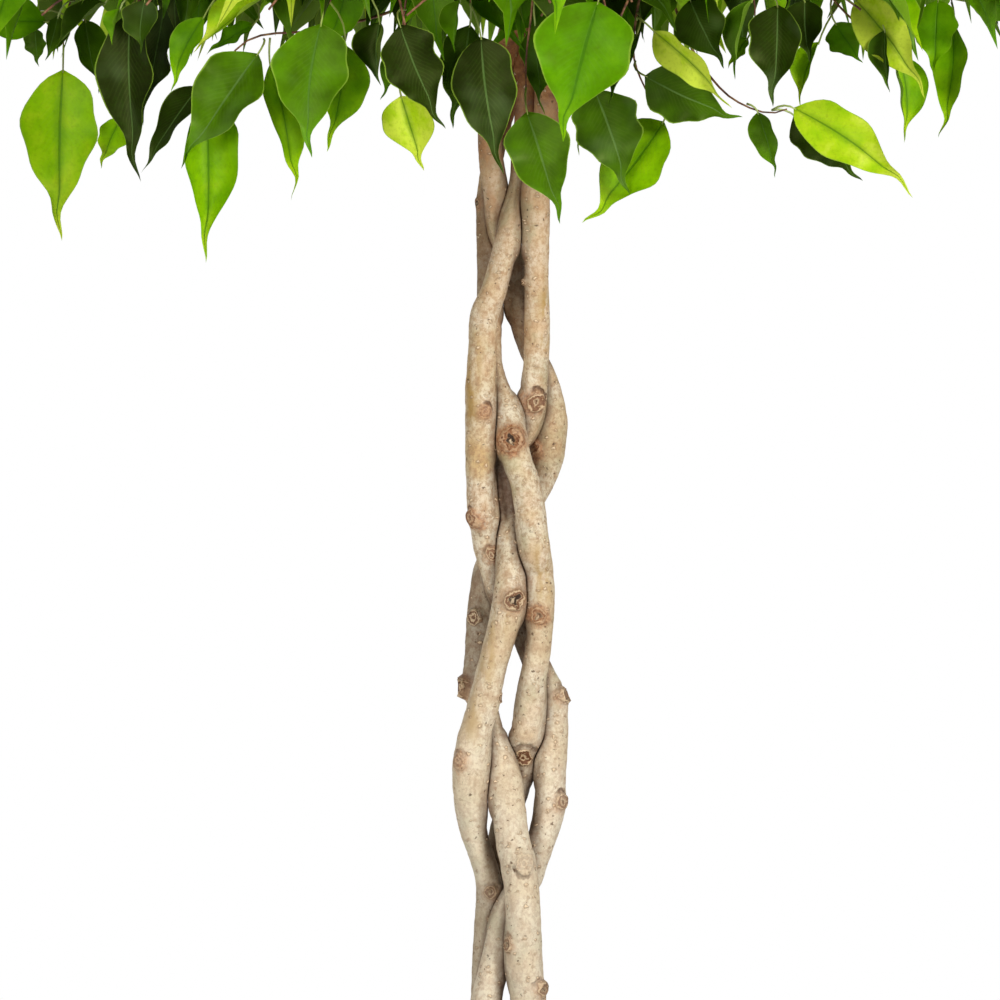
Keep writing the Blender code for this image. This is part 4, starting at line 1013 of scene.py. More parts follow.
def leaf_material():
    """Waxy leaf blade, grown: a glossy cuticle over green tissue that lets light through.

    The wax gives soft, broad highlights, the tissue glows yellower where light comes from behind, the midrib
    is a dark line on young leaves and a light one on old leaves, and the underside is paler and duller.
    """
    made, tree, spot = new_material("waxy_leaf_blade")
    tone = add(tree, HELD, attribute_name="tone").outputs["Fac"]
    place = add(tree, SPLIT, [add(tree, "ShaderNodeUVMap", uv_map="blade")])
    along = place.outputs["Y"]
    offset = add(tree, MATH, [place.outputs["X"], 0.5], operation="SUBTRACT")
    across = add(tree, MATH, [offset], operation="ABSOLUTE")
    under = add(tree, MATH, [along, 1.5], operation="GREATER_THAN")
    length = add(tree, MATH, [along, 2.0], operation="MODULO")
    # Lighter and darker tissue in patches of about 12 mm, and yellower towards the drip tip.
    patches = add(tree, NOISE, {"Vector": spot, "Scale": 83.0, "Detail": 3.0, "Roughness": 0.6})
    swing = add(tree, MATH, [patches, 0.5], operation="SUBTRACT")
    drift = add(tree, MATH, [swing, 0.34, tone], operation="MULTIPLY_ADD")
    towards = add(tree, EASED, [length, 0.45, 1.0, 0.0, 0.12])
    aged = add(tree, MATH, [drift, towards], operation="ADD")
    tissue = add(tree, RAMP, {"Fac": aged}, stops=(
        (0.0, "#222B07"), (0.14, "#283805"), (0.28, "#365206"), (0.42, "#4B7205"), (0.54, "#5E9004"),
        (0.62, "#66A402"), (0.72, "#7CB804"), (0.84, "#9CD004"), (0.94, "#C2E01E"), (1.0, "#DAEA48"),
    ))
    # Side veins leave the midrib steeply, about 4 mm apart, and hardly show.
    slant = add(tree, MATH, [across, -0.55, length], operation="MULTIPLY_ADD")
    beat = add(tree, MATH, [add(tree, MATH, [slant, 140.0])], operation="SINE")
    crest = add(tree, EASED, [beat, 0.2, 1.0])
    inner = add(tree, EASED, [across, 0.46, 0.1])
    vein = add(tree, MATH, [crest, inner])
    veined = add(tree, MIX, {0: add(tree, MATH, [vein, 0.05]), BASE: tissue, LAID: "#9BBB5C"})
    # Young blades are darker along the valley of the midrib, whose rib narrows towards the tip.
    young = add(tree, EASED, [tone, 0.40, 0.56])
    valley = add(tree, EASED, [across, 0.13, 0.01, 0.0, 0.42])
    sunk = add(tree, MIX, {0: add(tree, MATH, [valley, young]), BASE: veined, LAID: "#4A860C"})
    rib_end = add(tree, EASED, [length, 1.0, 0.6, 0.09, 0.024], interpolation_type="LINEAR")
    rib_wide = add(tree, MATH, [across, rib_end], operation="DIVIDE")
    midrib = add(tree, EASED, [rib_wide, 1.0, 0.35])
    rib_colour = add(tree, MIX, {0: young, BASE: "#6C8E48", LAID: "#3F760E"})
    ribbed = add(tree, MIX, {0: add(tree, MATH, [midrib, 0.6]), BASE: sunk, LAID: rib_colour})
    # The margin is a yellower hair line.
    margin = add(tree, EASED, [across, 0.470, 0.494])
    edged = add(tree, MIX, {0: add(tree, MATH, [margin, 0.75]), BASE: ribbed, LAID: "#9DC03E"})
    # Fine grain of the tissue, 2 mm, and pale patches of 30 mm, most on the old: a thin bloom of wax and
    # dust, and partly a painted sheen.
    grain = add(tree, NOISE, {"Vector": spot, "Scale": 480.0, "Detail": 3.0, "Roughness": 0.7})
    grainy = layered(tree, edged, (grain, 0.5, 0.7, 0.2, "#35640A"), curve="LINEAR")
    dust_and_sheen_noise = add(tree, NOISE, {"Vector": spot, "Scale": 32.0, "Detail": 2.0, "Roughness": 0.6})
    dust_and_sheen = add(tree, EASED, [dust_and_sheen_noise, 0.50, 0.74, 0.0, 0.14])
    dust_and_sheen_on_old = add(tree, EASED, [tone, 0.3, 0.7, 1.0, 0.35], interpolation_type="LINEAR")
    dust_and_sheen_skin = add(tree, MIX, {0: add(tree, MATH, [dust_and_sheen, dust_and_sheen_on_old]), BASE: grainy, LAID: "#A8C680"})
    pale = add(tree, MIX, {0: 0.34, BASE: dust_and_sheen_skin, LAID: "#A2C648"})
    skin = add(tree, MIX, {0: under, BASE: dust_and_sheen_skin, LAID: pale})
    dull = add(tree, MATH, [under, 0.2, 0.40], operation="MULTIPLY_ADD")
    # The blade puckers softly between its side veins, about 8 mm across.
    pucker = add(tree, NOISE, {"Vector": spot, "Scale": 120.0, "Detail": 1.0})
    rough = add(tree, MATH, [vein, 0.06, midrib], operation="MULTIPLY_ADD")
    relief = add(tree, MATH, [pucker, -2.2, rough], operation="MULTIPLY_ADD")
    bump = add(tree, BUMP, {"Height": relief, "Strength": 0.45, "Distance": 0.0004}, invert=True)
    wax = add(tree, SURFACE, {
        "Base Color": skin, "Roughness": dull, "IOR": 1.32, "Specular Tint": "#DCEE8C", "Normal": bump,
    })
    lit = add(tree, MIX, {0: 0.35, BASE: skin, LAID: "#8FC414"})
    glow = add(tree, "ShaderNodeBsdfTranslucent", {"Color": lit})
    add(tree, OUTPUT, {"Surface": add(tree, "ShaderNodeMixShader", [0.26, wax, glow])})
    return made


def bark_material():
    """Fig bark, grown: smooth, dry and matt, cream over tan, with raised corky pores and healed scars.

    Dark, warm painted shade lies where stems press together, inside the braid and behind other stems.
    Mottle and irregular specks keep the surface from looking like plaster, and a scar runs from a hollow
    of painted shade through pale lips to a brown, rugged stain.
    """
    made, tree, spot = new_material("smooth_fig_bark")
    height = add(tree, SPLIT, [spot]).outputs["Z"]
    # The coordinates wander by a millimetre, so that specks and pores come out uneven.
    wander = add(tree, NOISE, {"Vector": spot, "Scale": 420.0, "Detail": 2.0}).outputs["Color"]
    centred = add(tree, VECTOR, [wander, (0.5, 0.5, 0.5)], operation="SUBTRACT")
    bent = add(tree, VECTOR, [centred, (0.0034, 0.0034, 0.0034), spot], operation="MULTIPLY_ADD")
    # Patches 40 mm wide in which the bark is yellower or paler, warm ones of 20 mm, mottle of 5 mm, grit of
    # 2 mm, and green-grey patches 26 mm wide, as algae leave them.
    aside = add(tree, PLACED, {"Vector": spot, "Location": (0.3, 0.7, 0.2)})
    broad, middle, small, fine, damp = (
        add(tree, NOISE, {"Vector": place, "Scale": scale, "Detail": detail, "Roughness": roughness})
        for place, scale, detail, roughness in (
            (spot, 25.0, 4.0, 0.55), (spot, 52.0, 5.0, 0.62), (spot, 190.0, 6.0, 0.7),
            (spot, 520.0, 4.0, 0.7), (aside, 38.0, 5.0, 0.6),
        )
    )
    # Streaks along the stem, 1.4 mm wide.
    drawn = add(tree, PLACED, {"Vector": bent, "Scale": (1.0, 1.0, 0.16)})
    grain = add(tree, NOISE, {"Vector": drawn, "Scale": 700.0, "Detail": 3.0})
    ground = add(tree, RAMP, {"Fac": broad}, stops=(
        (0.30, "#CBB288"), (0.42, "#DAC7A3"), (0.54, "#E4D7BC"), (0.66, "#D6BE94"), (0.76, "#C8A56B"),
    ))
    streaked = layered(
        tree, ground, (middle, 0.48, 0.68, 0.5, "#CDA47A"), (small, 0.46, 0.64, 0.55, "#AC8158"),
        (fine, 0.46, 0.64, 0.62, "#A8825C"), (grain, 0.48, 0.74, 0.5, "#9C744A"),
    )
    # The upper half of the braid is pinker and browner than the lower.
    pinked = layered(tree, streaked, (height, 0.66, 0.82, 0.6, "#CC9D6E"), curve="LINEAR")
    greened = layered(tree, pinked, (damp, 0.52, 0.68, 0.45, "#B5AF87"))
    # Golden stains run down some stretches, in streaks 6 mm wide.
    gold = add(tree, HELD, attribute_name="gold").outputs["Fac"]
    long = add(tree, PLACED, {"Vector": bent, "Scale": (1.0, 1.0, 0.2)})
    wide = add(tree, NOISE, {"Vector": long, "Scale": 170.0, "Detail": 4.0})
    patchy = add(tree, EASED, [wide, 0.40, 0.60, 0.0, 0.9])
    gilded = add(tree, MIX, {0: add(tree, MATH, [gold, patchy]), BASE: greened, LAID: "#B08A46"})
    # Low down the bark is greyer.
    greyed = layered(tree, gilded, (height, 0.60, 0.42, 0.34, "#EADFC8"), curve="LINEAR")
    # Painted shade where two stems press on each other, inside the braid and behind the others.
    painted_shade = add(tree, HELD, attribute_name="painted_shade").outputs["Fac"]
    painted_shade_eased = add(tree, EASED, [painted_shade, 0.12, 1.0])
    uneven = add(tree, MATH, [small, 0.8, 0.5], operation="MULTIPLY_ADD")
    painted_shade_share = add(tree, MATH, [painted_shade_eased, uneven], use_clamp=True)
    stain = add(tree, MIX, {0: painted_shade_share, BASE: greyed, LAID: "#50301B"})
    # Bark inside the crown is younger and redder.
    rise = add(tree, MATH, [middle, 0.10, height], operation="MULTIPLY_ADD")
    redder = add(tree, RAMP, {"Fac": small}, stops=((0.35, "#7A4222"), (0.5, "#A0622F"), (0.65, "#C68C58")))
    reddened = layered(tree, stain, (rise, 0.815, 0.895, 0.9, redder))
    # Corky pores, 1 to 2.5 mm across, ringed by painted shade, in half of the cells, which are about 5 mm
    # apart.
    flat = add(tree, PLACED, {"Vector": bent, "Scale": (1.0, 1.0, 1.5)})
    cells = add(tree, CELLS, {"Vector": flat, "Scale": 190.0})
    lot = add(tree, SPLIT, [cells.outputs["Color"]])
    kept = add(tree, MATH, [lot.outputs["X"], 0.5], operation="GREATER_THAN")
    near = add(tree, EASED, [cells, 0.24, 0.10])
    around = add(tree, EASED, [cells, 0.40, 0.24, 0.0, 0.4])
    rimmed = add(tree, MIX, {0: add(tree, MATH, [around, kept]), BASE: reddened, LAID: "#8A623E"})
    pore = add(tree, MATH, [near, kept])
    pored = add(tree, MIX, {0: add(tree, MATH, [pore, 0.85]), BASE: rimmed, LAID: "#F8DCB4"})
    # Dark specks of dirt and lichen, 0.5 to 2 mm across, more of them towards the soil.
    dots = add(tree, CELLS, {"Vector": bent, "Scale": 250.0})
    lots = add(tree, SPLIT, [dots.outputs["Color"]])
    fewer = add(tree, EASED, [height, 0.3, 0.72, 0.02, 0.5], interpolation_type="LINEAR")
    often = add(tree, MATH, [lots.outputs["Y"], fewer], operation="GREATER_THAN")
    reach = add(tree, MATH, [lots.outputs["Z"], 0.20, 0.06], operation="MULTIPLY_ADD")
    ratio = add(tree, MATH, [dots, reach], operation="DIVIDE")
    dark = add(tree, EASED, [ratio, 1.0, 0.5])
    speck = add(tree, MATH, [add(tree, MATH, [dark, often]), 0.85])
    specked = add(tree, MIX, {0: speck, BASE: pored, LAID: "#5C4228"})
    final, scarred = scar_layers(tree, spot, specked, small)
    dull = add(tree, MATH, [small, 0.2, 0.58], operation="MULTIPLY_ADD")
    relief = small
    for part, strength in ((pore, 1.2), (grain, 0.35), (scarred, 1.5)):
        relief = add(tree, MATH, [part, strength, relief], operation="MULTIPLY_ADD")
    bump = add(tree, BUMP, {"Height": relief, "Strength": 0.7, "Distance": 0.0010})
    skin = add(tree, SURFACE, {"Base Color": final, "Roughness": dull, "Normal": bump})
    add(tree, OUTPUT, {"Surface": skin})
    return made


def scar_layers(tree, spot, bark, mottle):
    """Lays the scars' stain, lips, and painted shade in hollow and brow over the bark's colour.
    Returns the colour and a relief.

    The scar_place attribute holds the place in a scar, in its radii, and the strength of its stain.
    scar_look holds the strengths of its hollow, its lips and the crease over it.
    """
    mapped = add(tree, HELD, attribute_name="scar_place").outputs["Vector"]
    looks = add(tree, SPLIT, [add(tree, HELD, attribute_name="scar_look").outputs["Vector"]])
    place = add(tree, SPLIT, [mapped])
    # Everything in a scar is bent by slow noise, and by quicker noise along its folds.
    uneven = add(tree, NOISE, {"Vector": spot, "Scale": 210.0, "Detail": 2.0}).outputs["Color"]
    centred = add(tree, VECTOR, [uneven, (0.5, 0.5, 0.5)], operation="SUBTRACT")
    moved = add(tree, VECTOR, [centred, (1.3, 1.3, 0.0), mapped], operation="MULTIPLY_ADD")
    level = add(tree, VECTOR, [moved, (1.0, 0.85, 0.0)], operation="MULTIPLY")
    apart = add(tree, VECTOR, [level], operation="LENGTH").outputs["Value"]
    crumple = add(tree, NOISE, {"Vector": spot, "Scale": 620.0, "Detail": 3.0, "Roughness": 0.7})
    # The stain reaches twice as far as the scar and breaks up at its edge.
    edge = add(tree, MATH, [mottle, 1.6, apart], operation="MULTIPLY_ADD")
    reach = add(tree, EASED, [edge, 2.75, 1.6])
    stain = add(tree, MATH, [reach, place.outputs["Z"]])
    browns = add(tree, RAMP, {"Fac": crumple}, stops=(
        (0.36, "#7A4628"), (0.5, "#AA7147"), (0.66, "#CC9C70"),
    ))
    layer = add(tree, MIX, {0: stain, BASE: bark, LAID: browns})
    # Lips of cork fold round the hollow; their folds are uneven, paler on their crests and darker in the
    # troughs, partly the cork's colour and partly painted shade.
    rings = add(tree, MATH, [apart, 12.5])
    swirl = add(tree, MATH, [crumple, 7.0, rings], operation="MULTIPLY_ADD")
    turns = add(tree, MATH, [swirl], operation="SINE")
    rim = add(tree, EASED, [apart, 1.25, 0.8])
    lips = add(tree, MATH, [rim, looks.outputs["Y"]])
    curls = add(tree, EASED, [turns, -0.7, 0.9])
    cork = add(tree, RAMP, {"Fac": curls}, stops=((0.0, "#6B4123"), (0.4, "#B08055"), (1.0, "#E0C59E")))
    layer = add(tree, MIX, {0: lips, BASE: layer, LAID: cork})
    # The hollow is a comma of painted shade round a chip of pale wood.
    inner = add(tree, EASED, [apart, 0.50, 0.34])
    aside = add(tree, VECTOR, [level, (0.10, -0.10, 0.0)], operation="SUBTRACT")
    chipped = add(tree, VECTOR, [aside, (1.7, 0.95, 0.0)], operation="MULTIPLY")
    chip_at = add(tree, VECTOR, [chipped], operation="LENGTH").outputs["Value"]
    bare = add(tree, EASED, [chip_at, 0.32, 0.16])
    comma = add(tree, MATH, [inner, bare], operation="SUBTRACT", use_clamp=True)
    hole = add(tree, MATH, [comma, looks.outputs["X"]])
    layer = add(tree, MIX, {0: hole, BASE: layer, LAID: "#3E2815"})
    chip = add(tree, MATH, [bare, add(tree, MATH, [looks.outputs["X"], 0.8])])
    layer = add(tree, MIX, {0: chip, BASE: layer, LAID: "#E2CDA8"})
    # A soft crease arches over the scar, darkened brown with painted shade.
    over = add(tree, MATH, [apart, 1.3], operation="SUBTRACT")
    off = add(tree, MATH, [over], operation="ABSOLUTE")
    arch = add(tree, EASED, [off, 0.30, 0.04])
    upper = add(tree, EASED, [place.outputs["Y"], 0.5, 1.2])
    brow = add(tree, MATH, [add(tree, MATH, [arch, upper]), looks.outputs["Z"]])
    layer = add(tree, MIX, {0: add(tree, MATH, [brow, 0.8]), BASE: layer, LAID: "#573418"})
    ridges = add(tree, MATH, [curls, lips])
    rugged = add(tree, MATH, [crumple, stain, ridges], operation="MULTIPLY_ADD")
    sunk = add(tree, MATH, [hole, brow], operation="ADD")
    return layer, add(tree, MATH, [rugged, sunk], operation="SUBTRACT")


def twig_material():
    """Young fig wood, grown: thin, dry and reddish brown, with lighter flecks 4 mm long."""
    made, tree, spot = new_material("young_fig_twig")
    flecks = add(tree, NOISE, {"Vector": spot, "Scale": 260.0, "Detail": 4.0})
    wood = add(tree, RAMP, {"Fac": flecks}, stops=((0.34, "#4E3122"), (0.5, "#7B4C31"), (0.68, "#A67A50")))
    bump = add(tree, BUMP, {"Height": flecks, "Strength": 0.3, "Distance": 0.0003})
    skin = add(tree, SURFACE, {"Base Color": wood, "Roughness": 0.62, "Normal": bump})
    add(tree, OUTPUT, {"Surface": skin})
    return made


def stalk_material():
    """Leaf stalk, grown: smooth, slightly waxy and yellow-green, browner in places."""
    made, tree, spot = new_material("green_leaf_stalk")
    drift = add(tree, NOISE, {"Vector": spot, "Scale": 45.0, "Detail": 2.0})
    rind = add(tree, RAMP, {"Fac": drift}, stops=((0.35, "#7A7A3A"), (0.5, "#9DB04A"), (0.65, "#B9C878")))
    add(tree, OUTPUT, {"Surface": add(tree, SURFACE, {"Base Color": rind, "Roughness": 0.45})})
    return made


def pot_material():
    """Polypropylene, moulded: dark grey and matt, with a fine spark-eroded grain and faint scuffs."""
    made, tree, spot = new_material("moulded_polypropylene")
    broad = add(tree, NOISE, {"Vector": spot, "Scale": 14.0, "Detail": 3.0})
    plastic = add(tree, RAMP, {"Fac": broad}, stops=((0.35, "#2A2C2E"), (0.65, "#34373A")))
    # Scuffs: pale scratches that run round the pot, about 1.5 mm high.
    about = add(tree, PLACED, {"Vector": spot, "Scale": (1.0, 1.0, 30.0)})
    scuff = add(tree, NOISE, {"Vector": about, "Scale": 22.0, "Detail": 6.0})
    worn = layered(tree, plastic, (scuff, 0.6, 0.78, 0.3, "#5A5D60"))
    dull = add(tree, EASED, [scuff, 0.35, 0.7, 0.5, 0.66], interpolation_type="LINEAR")
    # Spark-eroded grain is under 0.1 mm and is drawn at 0.6 mm, so that it shows.
    grain = add(tree, NOISE, {"Vector": spot, "Scale": 1600.0, "Detail": 2.0})
    bump = add(tree, BUMP, {"Height": grain, "Strength": 0.25, "Distance": 0.0002})
    skin = add(tree, SURFACE, {"Base Color": worn, "Roughness": dull, "IOR": 1.49, "Normal": bump})
    add(tree, OUTPUT, {"Surface": skin})
    return made


def soil_material():
    """Peat compost, sieved: dark brown, dull and crumbly, with paler fibres in clumps of 6 mm."""
    made, tree, spot = new_material("peat_compost")
    coarse = add(tree, NOISE, {"Vector": spot, "Scale": 160.0, "Detail": 6.0, "Roughness": 0.7})
    peat = add(tree, RAMP, {"Fac": coarse}, stops=(
        (0.32, "#1C130D"), (0.48, "#352417"), (0.60, "#4C3624"), (0.74, "#7A5C3E"),
    ))
    # Crumbs of 2.4 mm stand out of the clumps.
    cells = add(tree, CELLS, {"Vector": spot, "Scale": 420.0})
    height = add(tree, MATH, [cells, -0.6, coarse], operation="MULTIPLY_ADD")
    bump = add(tree, BUMP, {"Height": height, "Strength": 0.8, "Distance": 0.0015})
    skin = add(tree, SURFACE, {"Base Color": peat, "Roughness": 0.95, "Normal": bump})
    add(tree, OUTPUT, {"Surface": skin})
    return made


class Shape:
    """Gathers the points and faces of one mesh, with the values that its materials and leaves read."""

    VALUES = {"tone": "FLOAT", "painted_shade": "FLOAT", "gold": "FLOAT", "is_leaf": "FLOAT", "kind": "INT"}
    VECTORS = {name: "FLOAT_VECTOR" for name in ("turn", "size", "scar_place", "scar_look")}

    def __init__(self):
        self.points = []
        self.faces = []
        self.slots = []
        self.places = []
        self.values = {name: [] for name in (*self.VALUES, *self.VECTORS)}

    def add(self, points, faces=(), slot=0, places=None, **values):
        """Adds a closed shell, or loose points. places is the UV place of each corner of each face."""
        start = len(self.points)
        self.points += [tuple(p) for p in points]
        self.faces += [tuple(i + start for i in face) for face in faces]
        self.slots += [slot] * len(faces)
        self.places += places or [(0.0, 0.0)] * sum(len(face) for face in faces)
        for name, held in self.values.items():
            plain = (0.0, 0.0, 0.0) if name in self.VECTORS else 0
            value = values.get(name, plain)
            held += list(value) if isinstance(value, list) else [value] * len(points)

    def mesh(self, name, materials, wanted):
        made = bpy.data.meshes.new(name)
        made.from_pydata(self.points, [], self.faces)
        for surface in materials:
            made.materials.append(surface)
        made.polygons.foreach_set("material_index", self.slots)
        made.polygons.foreach_set("use_smooth", [True] * len(self.faces))
        made.uv_layers.new(name="blade").uv.foreach_set("vector", np.array(self.places, np.float32).ravel())
        for value in wanted:
            kind = self.VALUES.get(value) or self.VECTORS[value]
            data = made.attributes.new(value, kind, "POINT").data
            held = np.array(self.values[value], np.int32 if kind == "INT" else np.float32)
            data.foreach_set("vector" if value in self.VECTORS else "value", held.ravel())
        made.update()
        split_margins(made)
        return made


def read(items, name, kind, width=1):
    """One value of each item of a mesh, in a row."""
    held = np.empty(len(items) * width, kind)
    items.foreach_get(name, held)
    return held


def split_margins(mesh):
    """Splits the shading between the upper side and the underside of a blade, so that it looks thin."""
    places = read(mesh.uv_layers[0].uv, "vector", np.float32, 2)
    starts = read(mesh.polygons, "loop_start", np.int32)
    counts = read(mesh.polygons, "loop_total", np.int32)
    edges = read(mesh.loops, "edge_index", np.int32)
    under = np.repeat(places[1::2][starts] > 1.5, counts)
    below = np.bincount(edges, weights=under, minlength=len(mesh.edges))
    whole = np.bincount(edges, minlength=len(mesh.edges))
    split = (below > 0) & (below < whole)
    mesh.attributes.new("sharp_edge", "BOOLEAN", "EDGE").data.foreach_set("value", split)


def round_bar(centre, radii, sides, swell=None):
    """Points and faces of a closed round bar along a path; swell moves each point out or in."""
    points = []
    faces = []
    count = len(centre)
    across = (centre[1] - centre[0]).orthogonal().normalized()
    for i in range(count):
        ahead = (centre[min(i + 1, count - 1)] - centre[max(i - 1, 0)]).normalized()
        across = (across - ahead * across.dot(ahead)).normalized()
        other = ahead.cross(across)
        for k in range(sides):
            angle = math.tau * k / sides
            out = across * math.cos(angle) + other * math.sin(angle)
            point = centre[i] + out * radii[i]
            points.append(point + out * swell(point, out, radii[i]) if swell else point)
    for i in range(count - 1):
        for k in range(sides):
            a = i * sides + k
            b = i * sides + (k + 1) % sides
            faces.append((a, b, b + sides, a + sides))
    faces.append(tuple(reversed(range(sides))))
    faces.append(tuple(range((count - 1) * sides, count * sides)))
    return points, faces


def smooth_line(points, count):
    """The same path with more points, rounded at its bends."""
    table = np.array([tuple(p) for p in points])
    steps = np.concatenate([[0], np.cumsum(np.linalg.norm(np.diff(table, axis=0), axis=1))])
    return [Vector(p) for p in hermite(steps, table, np.linspace(0, steps[-1], count))]


def tapered(path, thick, rings, sides):
    """Points and faces of a smooth bar along a path, from one radius to the other."""
    return round_bar(smooth_line(path, rings), radii_between(thick, rings), sides)


def blade(rings, across_steps, form, width_share, phase, sway):
    """A blade one unit long, from its base at 0 to its tip at (0, 1, 0), that faces +Z, closed and thin.

    Returns points, faces and the UV place of each corner: across and along, with 2 more along underneath.
    """
    fold, roll, arch, wave, beats, hook, curl, twist = form
    knots, widths = np.array(HALF_WIDTH).T
    halves = 0.5 * width_share * np.clip(hermite(knots, widths[:, None], np.array(rings))[:, 0], 0, None)
    shares = np.linspace(-1, 1, across_steps + 1)
    top = []
    low = []
    places = []
    for t, half in zip(rings, halves):
        # The middle bows to the side, hooks at the drip tip, twists, arches and curls.
        ends = math.sin(math.pi * t)
        bow = sway * ends + hook * math.exp(-(((t - 0.84) / 0.09) ** 2)) * min(1.0, 12 * (1 - t))
        lean = twist * (t - 0.35)
        lifted = arch * 4 * t * (1 - t) + curl * max(0.0, (t - 0.6) / 0.4) ** 2 * (1 - t) * 4
        for u in shares:
            # The edges wave out of step on either side, rise with the fold and roll in.
            edge = abs(u)
            aside = 2.1 if u > 0 else 0.0
            beat = math.sin(math.tau * beats * t + phase + aside)
            ripple = 1 + 2.4 * wave * math.sin(math.tau * (beats + 0.8) * t + 1.7 * phase + aside)
            x = u * half * ripple * (1 - 0.35 * roll * edge**3) * math.cos(fold * 0.8)
            z = half * (math.sin(fold) * edge + roll * edge**3) + wave * edge**1.6 * beat * ends
            z += 0.25 * wave * edge * math.sin(math.tau * 3.3 * t + 2.3 * phase + 3 * u) * ends
            turned_x = x * math.cos(lean) - z * math.sin(lean)
            turned_z = x * math.sin(lean) + z * math.cos(lean) + lifted
            thick = BLADE_THICK * (1 - edge**6) * min(1.0, 8 * (1 - t))
            top.append(Vector((bow + turned_x, t, turned_z)))
            low.append(Vector((bow + turned_x, t, turned_z - thick)))
            places.append((0.5 + 0.5 * u, t))
    wide = across_steps + 1
    under = len(top)
    faces = []
    uvs = []
    for i in range(len(rings) - 1):
        for k in range(across_steps):
            a, b, c, d = i * wide + k, i * wide + k + 1, (i + 1) * wide + k + 1, (i + 1) * wide + k
            faces.append((a, b, c, d))
            uvs += [places[j] for j in (a, b, c, d)]
            faces.append((a + under, d + under, c + under, b + under))
            uvs += [(places[j][0], places[j][1] + 2) for j in (a, d, c, b)]
    for k in range(across_steps):
        faces.append((k + 1, k, k + under, k + 1 + under))
        uvs += [places[k + 1], places[k], places[k], places[k + 1]]
    return welded(top + low, faces, uvs)


def welded(points, faces, uvs):
    """Merges points that lie on each other, and drops the corners and faces that this closes up."""
    index = {}
    kept = []
    target = []
    for point in points:
        key = tuple(round(c, 6) for c in point)
        if key not in index:
            index[key] = len(kept)
            kept.append(point)
        target.append(index[key])
    new_faces = []
    new_uvs = []
    start = 0
    for face in faces:
        corners = [(target[i], uvs[start + n]) for n, i in enumerate(face)]
        start += len(face)
        corners = [c for n, c in enumerate(corners) if c[0] != corners[n - 1][0]]
        if len({c[0] for c in corners}) > 2:
            new_faces.append(tuple(c[0] for c in corners))
            new_uvs += [c[1] for c in corners]
    return kept, new_faces, new_uvs


def more_leaves(spray, number, room, chance, shown):
    """Adds side shoots, and leaves on them and the twig, that the solids leave out. Returns the shoots."""
    front = number < len(FRONT_SPRAYS)
    grow_along(spray, spray.twig, TWIG_LEAVES, number, room, chance, front, shown)
    shoots = []
    starts = [(spray.twig, share, 0.0) for share in SHOOT_SHARES]
    if not front:
        starts += [(spray.limb, share, LIMB_THICK[0]) for share in LIMB_SHARES]
    for place, (path, share, clear) in enumerate(starts):
        shoot = new_shoot(spray, path, share, clear, place + number, room, chance, front)
        if shoot:
            shoots.append(shoot)
            grow_along(spray, shoot, SHOOT_LEAVES, place, room, chance, front, shown)
    return shoots


def new_shoot(spray, path, share, clear, turn, room, chance, front):
    """A side shoot from a twig, or from the outside of a limb; None where there is no room for it."""
    guide = Spray(None, None, path)
    origin = guide.point(share)
    if front and row_of(origin) > FRONT_SHOOT_ROW:
        return None
    ahead, across = guide.heading(share)
    for _ in range(MORE_TRIES):
        side = Matrix.Rotation(math.radians(chance.uniform(-MORE_STRAY, MORE_STRAY)), 3, ahead) @ across
        side = side if turn % 2 else -side
        heading = (ahead * chance.uniform(0.2, 0.8) + side).normalized()
        length = chance.uniform(*SHOOT_LONG)
        start = origin + heading * clear
        end = start + heading * length - Vector((0, 0, 0.3 * length))
        bend = start + heading * length * 0.55 + Vector((0, 0, 0.01))
        shoot = bezier(start, bend, end, SHOOT_POINTS)
        radii = [r + SHOOT_SPARE for r in radii_between(SHOOT_THICK, SHOOT_POINTS)]
        shape = pipe(shoot, radii)
        low = row_of(end) > SHOOT_ROW
        own = (id(spray), "stem_" + spray.stem) if clear else (id(spray),)
        if low or not in_box(shoot, SHOOT_BOX_SPARE) or not room.free(*shape, skip=own):
            continue
        if not clear or room.free(*pipe(shoot[1:], radii[1:]), skip=(id(spray),)):
            room.add(*shape, id(spray))
            return shoot
    return None


def in_box(points, spare):
    """Whether the points stay inside the box of the solids, and this far from its sides."""
    sides = list(zip(*cad_box))
    return all(low + spare <= c <= high - spare for p in points for c, (low, high) in zip(p, sides))


def shown_leaves(sprays):
    """The measured front leaves as the view shows them: both ends, half the width, and the distance back."""
    shown = []
    for spray in sprays[: len(FRONT_SPRAYS)]:
        for leaf in spray.leaves:
            ends = [np.array((col_of(point), row_of(point))) for point in (leaf.base, leaf.tip)]
            shown.append((*ends, 0.4 * leaf.width / PX, max(leaf.base.y, leaf.tip.y)))
    return shown


def hides_shown(leaf, shown):
    """Whether the leaf would cover a measured front leaf in the view."""
    for along, aside in ((0.15, 0), (0.5, 0), (0.85, 0), (0.35, -0.45), (0.35, 0.45)):
        point = leaf.base.lerp(leaf.tip, along) + leaf.side * leaf.width * aside
        place = np.array((col_of(point), row_of(point)))
        if place[1] < SHOWN_ROW:
            continue
        for start, end, half, back in shown:
            if point.y < back:
                line = end - start
                share = clamped((place - start).dot(line) / line.dot(line))
                if np.hypot(*(place - start - share * line)) < half:
                    return True
    return False


def leaf_in_box(leaf):
    """Whether a blade's ends and the widest places of its edges stay well inside that box."""
    middle = leaf.base.lerp(leaf.tip, 0.35)
    aside = leaf.side * leaf.width * 0.55
    corners = (leaf.base, leaf.tip, middle - aside, middle + aside)
    return in_box(corners, LEAF_BOX_SPARE * leaf.length)


